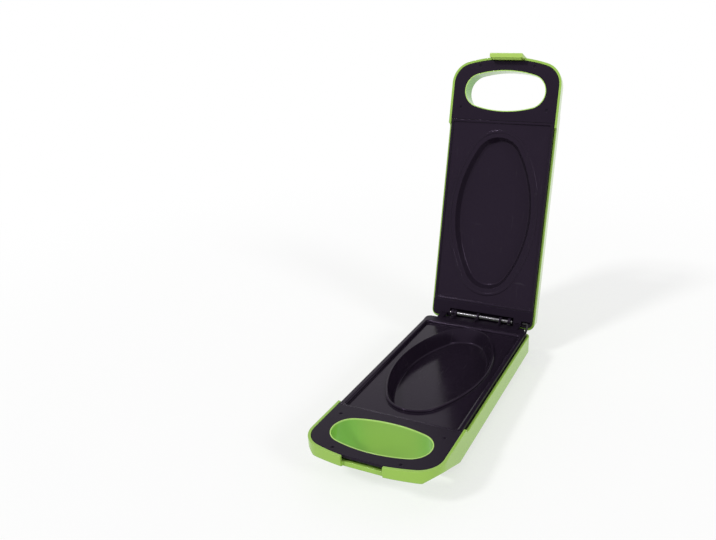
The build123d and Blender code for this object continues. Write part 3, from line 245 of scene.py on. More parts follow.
FLOAT, COLOUR, VECTOR = "NodeSocketFloat", "NodeSocketColor", "NodeSocketVector"

EDGE_SAMPLES = 4             # rays by which a sharp edge is found
EDGE_TURNS = (0.01, 0.12)    # how far the rounded normal leaves the face at an edge


def make_moulded_skin():
    """Moulded plastic: faint drifts of tone, an orange-peel surface and fine grain."""
    nodes, given, made = new_group(
        "Moulded skin",
        [("Colour", COLOUR, (0.5, 0.5, 0.5, 1.0)), ("Drift", FLOAT, 0.05),
         ("Peel size", FLOAT, 0.004), ("Grain size", FLOAT, 0.0005), ("Grain share", FLOAT, 0.3)],
        [("Colour", COLOUR), ("Gloss", FLOAT), ("Height", FLOAT)])
    place = nodes.place()
    drift = nodes.noise(place, scale=11.0, detail=3.0)
    value = nodes.math("MULTIPLY_ADD", nodes.math("SUBTRACT", drift, 0.5), given["Drift"], 1.0)
    tint = nodes.add("ShaderNodeHueSaturation", {"Value": value, "Color": given["Colour"]})
    peel = nodes.noise(place, nodes.math("DIVIDE", 1.0, given["Peel size"]), detail=1.0)
    grain = nodes.noise(place, nodes.math("DIVIDE", 1.0, given["Grain size"]), detail=1.0)
    share = nodes.add("ShaderNodeMix", {"Factor": given["Grain share"], 2: peel, 3: grain})
    nodes.feed(made["Colour"], tint.outputs[0])
    nodes.feed(made["Gloss"], nodes.noise(place, scale=35.0, detail=4.0, roughness=0.6))
    nodes.feed(made["Height"], share.outputs[0])


def make_soft_edges():
    """Rounds sharp edges in the shading, and finds them for wear and for painted highlights."""
    nodes, given, made = new_group(
        "Soft edges", [("Radius", FLOAT, 0.0004)], [("Normal", VECTOR), ("Edge", FLOAT)])
    bevel = nodes.add("ShaderNodeBevel", {"Radius": given["Radius"]}, samples=EDGE_SAMPLES)
    same = nodes.dot(bevel.outputs[0], nodes.world_facing())
    nodes.feed(made["Normal"], bevel.outputs[0])
    nodes.feed(made["Edge"], nodes.ramp(nodes.inverse(same), *EDGE_TURNS))


def make_handling():
    """Marks of use: soft smudges, specks of dust on upper sides and hairline scratches."""
    nodes, given, made = new_group(
        "Handling marks", [("Amount", FLOAT, 1.0)],
        [("Smudge", FLOAT), ("Dust", FLOAT), ("Scratch", FLOAT)])
    place = nodes.place()

    def hairs(turn, stretch, low, high):
        """Fine lines that run across one stretched direction."""
        laid = nodes.add("ShaderNodeMapping", {"Vector": place, "Rotation": turn, "Scale": stretch})
        return nodes.ramp(nodes.noise(laid.outputs[0], scale=1.0), low, high)

    smudge = nodes.ramp(nodes.noise(place, scale=26.0, detail=4.0, roughness=0.62), 0.48, 0.72)
    specks = nodes.ramp(nodes.noise(place, scale=1300.0, detail=1.0), 0.70, 0.78)
    patches = nodes.ramp(nodes.noise(place, scale=18.0), 0.40, 0.70)
    upper = nodes.ramp(nodes.dot(nodes.world_facing(), UPWARD), 0.1, 0.8)
    dust = nodes.times(nodes.times(specks, patches), upper)
    scratch = nodes.math("MAXIMUM", hairs((0.3, 0.2, 0.7), (900.0, 26.0, 26.0), 0.70, 0.76),
                         hairs((0.1, 0.4, -0.5), (30.0, 800.0, 30.0), 0.71, 0.77))
    for label, mark in (("Smudge", smudge), ("Dust", dust), ("Scratch", scratch)):
        nodes.feed(made[label], nodes.times(mark, given["Amount"]))


def make_metal_grain():
    """Drawn or rolled metal: streaks along one direction and a mottled tone."""
    nodes, given, made = new_group(
        "Metal grain", [("Stretch", VECTOR, (60.0, 2500.0, 2500.0))],
        [("Streak", FLOAT), ("Mottle", FLOAT)])
    place = nodes.place()
    stretched = nodes.add("ShaderNodeVectorMath", {0: place, 1: given["Stretch"]},
                          operation="MULTIPLY").outputs[0]
    nodes.feed(made["Streak"], nodes.noise(stretched, scale=1.0, detail=3.0, roughness=0.6))
    nodes.feed(made["Mottle"], nodes.noise(place, scale=180.0, detail=4.0, roughness=0.6))


def make_sleeve():
    """Braided sleeve of the heatproof wires."""
    nodes, given, made = new_group(
        "Braided sleeve", [("Strand size", FLOAT, 0.0009)], [("Height", FLOAT), ("Shade", FLOAT)])
    place = nodes.place()
    scale = nodes.math("DIVIDE", 0.3, given["Strand size"])

    def strands(turn):
        """Strands that wind one way."""
        laid = nodes.add("ShaderNodeMapping", {"Vector": place, "Rotation": turn})
        wave = nodes.add("ShaderNodeTexWave", {"Vector": laid.outputs[0], "Scale": scale,
                                               "Distortion": 0.6, "Detail": 1.0})
        return wave.outputs["Fac"]

    woven = nodes.times(strands((0.6, 0.8, 0.7)), strands((-0.6, 0.8, -0.7)))
    nodes.feed(made["Height"], woven)
    nodes.feed(made["Shade"], nodes.ramp(woven, 0.0, 0.6))


# Materials

WHITE = (1.0, 1.0, 1.0, 1.0)
VIOLET_SHEEN = (0.85, 0.66, 1.0, 1.0)    # the cool cast of light on the dark parts
SHELL_DUST = (0.55, 0.56, 0.50, 1.0)
TRIM_DUST = (0.35, 0.34, 0.36, 1.0)
FITTING_DUST = (0.5, 0.5, 0.48, 1.0)
RUBBED_TRIM = (0.030, 0.026, 0.036, 1.0)
COATING_FLAKE = (0.20, 0.18, 0.22, 1.0)
COATING_WORN = (0.035, 0.032, 0.040, 1.0)
COATING_SCRATCH = (0.16, 0.15, 0.17, 1.0)
LENS_RIM = (0.300, 0.160, 0.040, 1.0)    # amber of the cap's thinner rim

HIGHLIGHT_GAIN, HIGHLIGHT_LIFT = 1.5, 0.08   # how much paler the painted highlight colour is than the moulded one
FINE_EDGE = 0.0002               # metres; edges of metal and small fittings
COATED_EDGE = 0.0009             # metres; edges of the cast plates under their coating
SMUDGE_HAZE = 0.06               # roughness that a smudge adds to high gloss


class Finish:
    """One material with its shader and output, and the groups that it takes its detail from."""

    def __init__(self, name, **sockets):
        self.material = bpy.data.materials.new(name)
        self.material.use_nodes = True
        tree = self.material.node_tree
        tree.nodes.clear()
        self.nodes = Nodes(tree)
        self.shader = self.nodes.add("ShaderNodeBsdfPrincipled", {
            key.replace("_", " "): value for key, value in sockets.items()})
        self.surface = self.nodes.add(
            "ShaderNodeOutputMaterial", {"Surface": self.shader.outputs[0]}).inputs["Surface"]
        self.colour = None

    def group(self, name, **inputs):
        """The outputs of a group placed in this material."""
        node = self.nodes.add("ShaderNodeGroup", node_tree=bpy.data.node_groups[name])
        for key, value in inputs.items():
            self.nodes.feed(node.inputs[key.replace("_", " ")], value)
        return node.outputs

    def set(self, socket, value):
        """Feeds one of the shader's sockets."""
        self.nodes.feed(self.shader.inputs[socket], value)

    def paint(self, colour):
        """Sets the base colour."""
        self.colour = colour
        self.set("Base Color", colour)

    def tone(self, mask, share, colour):
        """Lays a share of another colour over the base colour, where a mask shows it."""
        self.paint(self.nodes.mix(self.nodes.times(mask, share), self.colour, colour))

    def roughen(self, mask, low, high):
        """Lets the roughness run from low to high with a mask."""
        self.set("Roughness", self.nodes.between(mask, low, high))

    def relief(self, height, depth, normal=None):
        """Raises the surface by a height map, on top of another normal."""
        inputs = {"Height": height, "Distance": depth, "Strength": 1.0}
        if normal is not None:
            inputs["Normal"] = normal
        self.set("Normal", self.nodes.add("ShaderNodeBump", inputs).outputs[0])

    def dress(self, *names):
        """Puts the material on CAD pieces."""
        for name in names:
            piece = NODES[name]
            if not piece.material_slots:
                piece.data.materials.append(self.material)
            for place in piece.material_slots:
                place.material = self.material


def highlight_tone(colour):
    """The paler tone of a moulded colour, painted as a highlight."""
    return rgba([min(1.0, channel * HIGHLIGHT_GAIN + HIGHLIGHT_LIFT) for channel in colour])


def glossy_plastic(name, colour, roughness=0.10, edge_radius=None):
    """High-gloss moulded plastic with soft edges, smudges, dust and a painted highlight along its
    edges.
    """
    if edge_radius is None:
        edge_radius = bpy.context.scene.grill_relief.edge_radius
    finish = Finish(name, IOR=1.5, Specular_IOR_Level=0.34)
    skin = finish.group("Moulded skin", Colour=rgba(colour), Drift=0.07, Peel_size=0.0035,
                        Grain_size=0.0006, Grain_share=0.15)
    edges = finish.group("Soft edges", Radius=edge_radius)
    marks = finish.group("Handling marks", Amount=0.6)
    finish.paint(skin["Colour"])
    # painted highlight: the moulded colour turns paler along the edges
    finish.tone(edges["Edge"], 0.5, highlight_tone(colour))
    finish.tone(marks["Dust"], 0.35, SHELL_DUST)
    gloss = finish.nodes.between(skin["Gloss"], roughness * 0.85, roughness * 1.15)
    finish.set("Roughness", finish.nodes.math("MULTIPLY_ADD", marks["Smudge"], SMUDGE_HAZE, gloss))
    finish.relief(skin["Height"], 0.00002, edges["Normal"])
    return finish


def satin_black(name, colour):
    """Dark satin plastic with a fine even grain."""
    finish = Finish(name, IOR=1.5, Specular_IOR_Level=0.13, Specular_Tint=VIOLET_SHEEN)
    skin = finish.group("Moulded skin", Colour=rgba(colour), Drift=0.25, Peel_size=0.003,
                        Grain_size=0.00035, Grain_share=0.7)
    edges = finish.group("Soft edges", Radius=bpy.context.scene.grill_relief.edge_radius)
    marks = finish.group("Handling marks", Amount=0.8)
    finish.paint(skin["Colour"])
    finish.tone(edges["Edge"], 0.5, RUBBED_TRIM)
    finish.tone(marks["Dust"], 0.10, TRIM_DUST)
    finish.roughen(marks["Smudge"], 0.36, 0.44)
    finish.relief(skin["Height"], 0.00005, edges["Normal"])
    return finish


def coated_metal(name, colour):
    """Non-stick coating sprayed on cast metal: dark and speckled, with a slight orange peel."""
    finish = Finish(name, IOR=1.42, Specular_IOR_Level=0.18, Specular_Tint=VIOLET_SHEEN)
    skin = finish.group("Moulded skin", Colour=rgba(colour), Drift=0.3, Peel_size=0.0022,
                        Grain_size=0.00045, Grain_share=0.35)
    edges = finish.group("Soft edges", Radius=COATED_EDGE)
    marks = finish.group("Handling marks", Amount=1.0)
    nodes = finish.nodes
    flakes = nodes.ramp(nodes.noise(nodes.place(), scale=2600.0, detail=1.0), 0.66, 0.74)
    finish.paint(skin["Colour"])
    finish.tone(flakes, 0.10, COATING_FLAKE)
    finish.tone(edges["Edge"], 0.35, COATING_WORN)
    finish.tone(marks["Scratch"], 0.08, COATING_SCRATCH)
    finish.roughen(marks["Smudge"], 0.13, 0.24)
    finish.relief(skin["Height"], 0.00004, edges["Normal"])
    return finish


def bare_metal(name, colour, roughness, stretch, mottle=0.3):
    """Drawn, rolled or plated metal; stretch is its grain in patches a metre, along x, y and z."""
    finish = Finish(name, Metallic=1.0)
    grain = finish.group("Metal grain", Stretch=stretch)
    marks = finish.group("Handling marks", Amount=1.0)
    edges = finish.group("Soft edges", Radius=FINE_EDGE)
    dark = rgba([channel * (1.0 - mottle) for channel in colour])
    bright = rgba([min(1.0, channel * 1.2) for channel in colour])
    finish.paint(finish.nodes.mix(grain["Mottle"], rgba(colour), dark))
    finish.tone(marks["Scratch"], 0.3, bright)
    finish.roughen(grain["Streak"], roughness * 0.7, roughness * 1.4)
    finish.relief(grain["Streak"], 0.00001, edges["Normal"])
    return finish


def plain_moulding(name, colour, roughness, specular=0.5):
    """Dull moulded plastic, rubber or ceramic of the small fittings."""
    finish = Finish(name, IOR=1.5, Specular_IOR_Level=specular)
    skin = finish.group("Moulded skin", Colour=rgba(colour), Drift=0.12, Peel_size=0.002,
                        Grain_size=0.0004, Grain_share=0.6)
    edges = finish.group("Soft edges", Radius=FINE_EDGE)
    marks = finish.group("Handling marks", Amount=0.7)
    finish.paint(skin["Colour"])
    finish.tone(marks["Dust"], 0.2, FITTING_DUST)
    finish.roughen(skin["Gloss"], roughness * 0.85, roughness * 1.1)
    finish.relief(skin["Height"], 0.00005, edges["Normal"])
    return finish


def sleeved_wire(name, colour):
    """Wire in a braided, heatproof sleeve."""
    finish = Finish(name, IOR=1.5, Specular_IOR_Level=0.4, Roughness=0.7)
    sleeve = finish.group("Braided sleeve", Strand_size=0.0009)
    dark = rgba([channel * 0.6 for channel in colour])
    finish.paint(finish.nodes.mix(sleeve["Shade"], dark, rgba(colour)))
    finish.relief(sleeve["Height"], 0.0001)
    return finish


# Shapes that are made here; their lengths are in millimetres, unless a name says otherwise

LID_BACK = 47.0              # from the parting plane to the lid's back
CREASE_START, CREASE_END = 30.0, 136.0   # from the hinge axis
CREASE_RISE, CREASE_FADE = 18.0, 26.0    # over which it comes up at its start and goes at its end
CREASE_ROUTE = (             # from the hinge axis, and from the lid's middle
    (0.0, 15.0), (36.0, 17.0), (64.0, 18.2), (86.0, 17.4), (112.0, 11.0), (128.0, 5.2),
    (150.0, 3.0))
CREASE_GRID = (60, 40)       # faces along it and across it
CREASE_REACH = 2.6           # half width of the strip that carries it, in half widths of the crease
CREASE_INNER = 0.7           # height of its inner ridge, as a share of the outer one
CREASE_SHARP = 1.6           # how narrow each ridge is
CREASE_SINK = 0.015          # by which its border lies under the surface
CREASE_FAINT = 0.6           # height of the left crease, as a share of the right one
CREASE_EDGE = 0.04           # shares of its height over which a painted highlight turns its crest paler
CREST_LEVELS = (0.35, 0.95)  # shares of its height over which its crest turns paler
CREST_HIGHLIGHT = 0.6              # share of the painted highlight on the crest

LEAD_PLACE = (59.2, 1.5)     # lead across the hinge, from the middle, and the room beside it
GUARD_EDGES = (50.8, 6.1, 18.0)          # the tongue's inner side, rear and front
GUARD_TOP, GUARD_THICK, GUARD_CORNER = 2.9, 1.2, 0.7
GUARD_STEPS = 8              # faces round its corner
GUARD_BEVEL, GUARD_BEVEL_STEPS = 0.25, 3
CORNER_DIGITS = 7            # decimals kept of a corner's metres


def add_object(name, data):
    """A new object of the scene."""
    made = bpy.data.objects.new(name, data)
    bpy.context.scene.collection.objects.link(made)
    return made


def on_lid(across, along, outward):
    """A point of the open lid, from its distances to the hinge axis in millimetres."""
    return HINGE + (across * ACROSS + along * LID_ALONG + outward * LID_OUTWARD) * MILLIMETRE


def soft_share(share):
    """A share from 0 to 1 that starts and ends gently."""
    return share * share * (3.0 - 2.0 * share)


def smooth_step(value, low, high):
    """0 below low, 1 above high, and a soft rise between."""
    return soft_share(min(1.0, max(0.0, (value - low) / (high - low))))


def smooth_route(stations, at):
    """A soft curve through stations of (distance, value), read at one distance."""
    last = len(stations) - 1

    def slope(index):
        """Slope of the curve at one station, from its neighbours."""
        (low, first), (high, second) = stations[max(0, index - 1)], stations[min(last, index + 1)]
        return (second - first) / (high - low)

    for index in range(last):
        (low, first), (high, second) = stations[index], stations[index + 1]
        if at <= high:
            span = high - low
            share = (at - low) / span
            leave = share * (1.0 - share) ** 2 * span * slope(index)
            arrive = share * share * (share - 1.0) * span * slope(index + 1)
            return first + (second - first) * soft_share(share) + leave + arrive
    return stations[-1][1]


def crease(name, side, height, width):
    """A long pair of soft ridges on the lid's back, with a valley between them."""
    rows, columns = CREASE_GRID
    height, width = height / MILLIMETRE, width / MILLIMETRE
    corners = []
    for row in range(rows + 1):
        along = CREASE_START + (CREASE_END - CREASE_START) * row / rows
        middle = smooth_route(CREASE_ROUTE, along)
        rise = smooth_step(along, CREASE_START, CREASE_START + CREASE_RISE)
        rise *= 1.0 - smooth_step(along, CREASE_END - CREASE_FADE, CREASE_END)
        for column in range(columns + 1):
            share = CREASE_REACH * (2.0 * column / columns - 1.0)
            outer = math.exp(-((share - 1.0) * CREASE_SHARP) ** 2)
            inner = math.exp(-((share + 1.0) * CREASE_SHARP) ** 2) * CREASE_INNER
            level = height * rise * (outer + inner) - CREASE_SINK
            corners.append(on_lid(side * (middle + share * width), along, LID_BACK + level))
    faces = []
    for row in range(rows):
        for column in range(columns):
            first = row * (columns + 1) + column
            quad = (first, first + 1, first + columns + 2, first + columns + 1)
            faces.append(quad if side < 0 else tuple(reversed(quad)))
    mesh = bpy.data.meshes.new(name)
    mesh.from_pydata(corners, [], faces)
    mesh.shade_smooth()
    return add_object(name, mesh)


def ordered_mesh(name, shape):
    """A mesh of a shape whose corners and faces come in the same order each run."""
    loops = []
    for face in shape.faces:
        loop = [tuple(round(value, CORNER_DIGITS) for value in corner.co) for corner in face.verts]
        start = loop.index(min(loop))
        loops.append(loop[start:] + loop[:start])
    corners = sorted({corner for loop in loops for corner in loop})
    order = {corner: number for number, corner in enumerate(corners)}
    mesh = bpy.data.meshes.new(name)
    mesh.from_pydata(corners, [], [[order[corner] for corner in loop] for loop in sorted(loops)])
    return mesh


def lead_guard(name):
    """A thin tongue on the base's rear cover that ends beside the lead."""
    lead_x, lead_room = LEAD_PLACE
    left, rear, front = GUARD_EDGES
    right = lead_x - lead_room
    outline = [(left, front), (left, rear)]
    for step in range(GUARD_STEPS + 1):
        turn = math.radians(270.0 + 90.0 * step / GUARD_STEPS)
        outline.append((right - GUARD_CORNER + GUARD_CORNER * math.cos(turn),
                        rear + GUARD_CORNER + GUARD_CORNER * math.sin(turn)))
    outline.append((right, front))
    shape = bmesh.new()
    corners = [shape.verts.new(HINGE + Vector((across, -along, -GUARD_TOP)) * MILLIMETRE)
               for across, along in outline]
    face = shape.faces.new(corners)
    grown = bmesh.ops.extrude_face_region(shape, geom=[face])
    lower = [item for item in grown["geom"] if isinstance(item, bmesh.types.BMVert)]
    bmesh.ops.translate(shape, verts=lower, vec=(0.0, 0.0, -GUARD_THICK * MILLIMETRE))
    bmesh.ops.bevel(shape, geom=list(shape.edges), offset=GUARD_BEVEL * MILLIMETRE,
                    segments=GUARD_BEVEL_STEPS, profile=0.5, affect="EDGES")
    bmesh.ops.recalc_face_normals(shape, faces=shape.faces)
    mesh = ordered_mesh(name, shape)
    shape.free()
    return add_object(name, mesh)


# One operator for each piece or group of like pieces

HOLE_MIDDLE = 0.27213        # metres from the hinge axis to the middle of the hand hole
HOLE_REACH = (0.052, 0.0265)     # metres from there that hold the hole's wall, across and along
HOLE_ENDS = (0.018, 0.046)       # metres from there over which its painted shade grows
HOLE_SHADE_SHARES = (0.25, 0.80)        # share of the painted shade at the middle and the ends of the hole
HOLE_SHADE = (0.175, 0.480, 0.060, 1.0)   # painted shade: a deeper green between the hole's walls
WALL_SLANTS = (0.10, 0.30)       # lean of a face from the wall's direction over which it fades
LIP_DEPTHS = (0.0008, 0.0020)    # metres from the parting plane over which the lip's painted highlight fades
LIP_HIGHLIGHT = 0.75                   # share of the paler painted highlight on the lip

LENS_HALF_LENGTH, LENS_HALF_WIDTH = 0.0176, 0.0070   # metres
LENS_RIM_START, LENS_RIM_END = 0.45, 1.05            # squared distance to its middle, 1 at its edge
LENS_RIM_SHARE = 0.75                                # share of amber in the rim


class BuildGroups(bpy.types.Operator):
    """Make the shared skin, edge, wear, metal and sleeve groups."""

    bl_idname = "grill.build_groups"
    bl_label = "Shared surface groups"

    def execute(self, context):
        make_moulded_skin()
        make_soft_edges()
        make_handling()
        make_metal_grain()
        make_sleeve()
        return {"FINISHED"}


class FinishShells(bpy.types.Operator):
    """Give the lid and base their glossy plastic, with painted shade on the wall of the hand hole
    and a painted highlight on its lip.
    """

    bl_idname = "grill.finish_shells"
    bl_label = "Lid and base shells"

    def execute(self, context):
        colour = context.scene.grill_colours.shell
        for name, node, along, outward in (
                ("Base shell", "base_casing", BASE_ALONG, BASE_OUTWARD),
                ("Lid shell", "lid_casing", LID_ALONG, LID_OUTWARD)):
            finish = glossy_plastic(name, colour)
            self.tone_hole(finish, colour, along, outward)
            finish.dress(node)
        return {"FINISHED"}

    def tone_hole(self, finish, colour, along, outward):
        """Paints shade as a deeper green on the wall of the hand hole, and a paler highlight on its
        lip where the two halves meet.
        """
        nodes = finish.nodes
        place = nodes.place_from(HINGE)
        across = nodes.math("ABSOLUTE", nodes.dot(place, ACROSS))
        ahead = nodes.math("ABSOLUTE", nodes.math("SUBTRACT", nodes.dot(place, along), HOLE_MIDDLE))
        inside = nodes.times(nodes.math("LESS_THAN", across, HOLE_REACH[0]),
                             nodes.math("LESS_THAN", ahead, HOLE_REACH[1]))
        lean = nodes.math("ABSOLUTE", nodes.dot(nodes.facing(), outward))
        wall = nodes.inverse(nodes.ramp(lean, *WALL_SLANTS))
        tint = nodes.between(nodes.ramp(across, *HOLE_ENDS), *HOLE_SHADE_SHARES)
        # painted shade: the hole's wall is a deeper green, most towards its ends
        finish.tone(nodes.times(inside, wall), tint, HOLE_SHADE)
        # painted highlight: the lip of the hole is paler near the parting plane
        lip = nodes.inverse(nodes.ramp(nodes.dot(place, outward), *LIP_DEPTHS))
        finish.tone(nodes.times(inside, lip), LIP_HIGHLIGHT, highlight_tone(colour))


class BuildCreases(bpy.types.Operator):
    """Raise the two soft creases that run from the hinge end and meet on the lid's back."""

    bl_idname = "grill.build_creases"
    bl_label = "Creases on the lid"

    def execute(self, context):
        relief = context.scene.grill_relief
        colour = context.scene.grill_colours.shell
        skin = glossy_plastic("Lid crease", colour, edge_radius=CREASE_EDGE * MILLIMETRE)
        nodes = skin.nodes
        outward = nodes.dot(nodes.place_from(HINGE), LID_OUTWARD)
        low, high = (LID_BACK * MILLIMETRE + relief.crease_height * share for share in CREST_LEVELS)
        # painted highlight: the crest of each crease is paler than the rest
        skin.tone(nodes.ramp(outward, low, high), CREST_HIGHLIGHT, highlight_tone(colour))
        for name, side, share in (("lid_crease_left", -1, CREASE_FAINT),
                                  ("lid_crease_right", 1, 1.0)):
            piece = crease(name, side, relief.crease_height * share, relief.crease_width)
            piece.data.materials.append(skin.material)
            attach(piece, "lid")
        return {"FINISHED"}


class FinishLatch(bpy.types.Operator):
    """Give the latch its plastic and its pin blackened steel."""

    bl_idname = "grill.finish_latch"
    bl_label = "Latch and its pin"

    def execute(self, context):
        glossy_plastic("Latch plastic", context.scene.grill_colours.latch,
                       roughness=0.20).dress("latch")
        bare_metal("Latch pin steel", (0.060, 0.060, 0.064), roughness=0.38,
                   stretch=(60.0, 2500.0, 2500.0)).dress("latch_pin")
        return {"FINISHED"}


class FinishPlugs(bpy.types.Operator):
    """Give the lid's four domed screw plugs their darker plastic."""

    bl_idname = "grill.finish_plugs"
    bl_label = "Screw plugs"

    def execute(self, context):
        plugs = [name for name in NODES if name.startswith("lid_plug")]
        glossy_plastic("Plug plastic", context.scene.grill_colours.plug).dress(*plugs)
        return {"FINISHED"}


class FinishTrim(bpy.types.Operator):
    """Give the bezels and hinge covers their satin dark plastic."""

    bl_idname = "grill.finish_trim"
    bl_label = "Bezels and hinge covers"

    def execute(self, context):
        satin_black("Satin trim", context.scene.grill_colours.trim).dress(
            "base_bezel", "lid_bezel", "base_hinge_cover", "lid_hinge_cover")
        return {"FINISHED"}


class BuildLeadGuard(bpy.types.Operator):
    """Close the gap below the hinge beside the lead with a small rounded tongue."""

    bl_idname = "grill.build_lead_guard"
    bl_label = "Guard beside the lead"

    def execute(self, context):
        piece = lead_guard("lead_guard")
        piece.data.materials.append(bpy.data.materials["Satin trim"])
        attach(piece, "base")
        return {"FINISHED"}


class FinishPlates(bpy.types.Operator):
    """Give both cooking plates their non-stick coating."""

    bl_idname = "grill.finish_plates"
    bl_label = "Cooking plates"

    def execute(self, context):
        coated_metal("Non-stick coating", context.scene.grill_colours.coating).dress(
            "base_plate", "lid_plate")
        return {"FINISHED"}


class FinishHingePin(bpy.types.Operator):
    """Give the hinge pin its drawn, polished steel."""

    bl_idname = "grill.finish_hinge_pin"
    bl_label = "Hinge pin"

    def execute(self, context):
        bare_metal("Hinge pin steel", (0.26, 0.25, 0.27), roughness=0.13,
                   stretch=(40.0, 3000.0, 3000.0)).dress("hinge_pin")
        return {"FINISHED"}


class FinishScrews(bpy.types.Operator):
    """Give every screw its zinc plating."""

    bl_idname = "grill.finish_screws"
    bl_label = "Screws"

    def execute(self, context):
        screws = [name for name in NODES if name.endswith("screws")]
        bare_metal("Zinc plating", (0.56, 0.57, 0.58), roughness=0.32,
                   stretch=(700.0, 700.0, 700.0)).dress(*screws)
        return {"FINISHED"}


class FinishHeaters(bpy.types.Operator):
    """Give the heaters, the straps and brackets and the heat shields their metals."""

    bl_idname = "grill.finish_heaters"
    bl_label = "Heaters, straps and shields"

    def execute(self, context):
        bare_metal("Heater sheath", (0.22, 0.20, 0.19), roughness=0.45,
                   stretch=(400.0, 90.0, 400.0), mottle=0.45).dress("base_heater", "lid_heater")
        bare_metal("Strap steel", (0.52, 0.52, 0.53), roughness=0.30,
                   stretch=(60.0, 1800.0, 1800.0)).dress(
            "base_heater_straps", "lid_heater_straps", "thermostat_bracket", "fuse_bracket")
        bare_metal("Shield sheet", (0.66, 0.67, 0.68), roughness=0.34,
                   stretch=(1500.0, 50.0, 1500.0), mottle=0.2).dress(
            "base_heat_shield", "lid_heat_shield")
        return {"FINISHED"}


class FinishControls(bpy.types.Operator):
    """Give the thermostat, thermal fuse, blocks, clamp, lamp holder and feet their materials."""

    bl_idname = "grill.finish_controls"
    bl_label = "Controls and small fittings"

    def execute(self, context):
        bare_metal("Thermostat cap", (0.60, 0.58, 0.55), roughness=0.40,
                   stretch=(300.0, 300.0, 300.0)).dress("thermostat")
        bare_metal("Fuse case", (0.58, 0.50, 0.33), roughness=0.30,
                   stretch=(900.0, 60.0, 900.0)).dress("thermal_fuse")
        plain_moulding("White moulding", (0.62, 0.61, 0.57), roughness=0.45).dress(
            "terminal_block", "lid_connector_block", "cord_clamp", "lamp_holder")
        feet = [name for name in NODES if name.startswith("foot")]
        plain_moulding("Black rubber", (0.016, 0.016, 0.017), roughness=0.75, specular=0.3).dress(
            "cord_grommet", *feet)
        return {"FINISHED"}


class FinishWiring(bpy.types.Operator):
    """Give the wires and the lead between the halves their braided sleeve."""

    bl_idname = "grill.finish_wiring"
    bl_label = "Wires and leads"

    def execute(self, context):
        sleeved_wire("Braided wire", (0.62, 0.60, 0.54)).dress("base_wires", "lid_wires")
        sleeved_wire("Dark lead", (0.020, 0.019, 0.020)).dress("base_lead", "lid_lead")
        return {"FINISHED"}


class FinishLamp(bpy.types.Operator):
    """Give the indicator its clear red cap with an amber rim, and its glass lamp."""

    bl_idname = "grill.finish_lamp"
    bl_label = "Indicator lamp"

    def execute(self, context):
        cap = Finish("Red cap", IOR=1.49, Transmission_Weight=0.35)
        skin = cap.group("Moulded skin", Colour=rgba(context.scene.grill_colours.lens), Drift=0.2,
                         Peel_size=0.0015, Grain_size=0.0003, Grain_share=0.2)
        edges = cap.group("Soft edges", Radius=0.0004)
        cap.paint(skin["Colour"])
        cap.tone(self.lens_rim(cap.nodes), LENS_RIM_SHARE, LENS_RIM)
        cap.roughen(skin["Gloss"], 0.06, 0.14)
        cap.relief(skin["Height"], 0.00004, edges["Normal"])
        cap.dress("indicator_lens")
        glass = Finish("Lamp glass", IOR=1.5, Transmission_Weight=0.8)
        smoke = glass.group("Moulded skin", Colour=(0.85, 0.55, 0.40, 1.0), Drift=0.3)
        glass.paint(smoke["Colour"])
        glass.roughen(smoke["Gloss"], 0.03, 0.10)
        glass.dress("indicator_lamp")
        return {"FINISHED"}

    def lens_rim(self, nodes):
        """A mask that is 1 at the edge of the oval cap."""
        low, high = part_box("indicator_lens")
        place = nodes.place_from((Vector(low) + Vector(high)) / 2.0)
        across = nodes.dot(place, ACROSS / LENS_HALF_LENGTH)
        along = nodes.dot(place, LID_ALONG / LENS_HALF_WIDTH)
        off = nodes.math("ADD", nodes.times(across, across), nodes.times(along, along))
        return nodes.ramp(off, LENS_RIM_START, LENS_RIM_END)


# The stage

SENSOR_WIDTH = 36.0          # millimetres, as the lens property says
NEAREST_SEEN = 0.01          # metres from the camera
FLOOR_REACH = 40.0           # metres from the grill to the floor's edge
FLOOR_BLEND = (0.35, 1.10)   # metres from the grill over which the floor goes over into white
FLOOR_WHITE = 0.60           # share of white in the floor beside the grill
LAMPS = (                    # share of the key's strength; apparent size, tilt and turn in degrees
    ("Key", 1.0, 9.0, 45.0, -34.0),
    ("Rim", 0.60, 16.0, 60.0, 70.0),
)


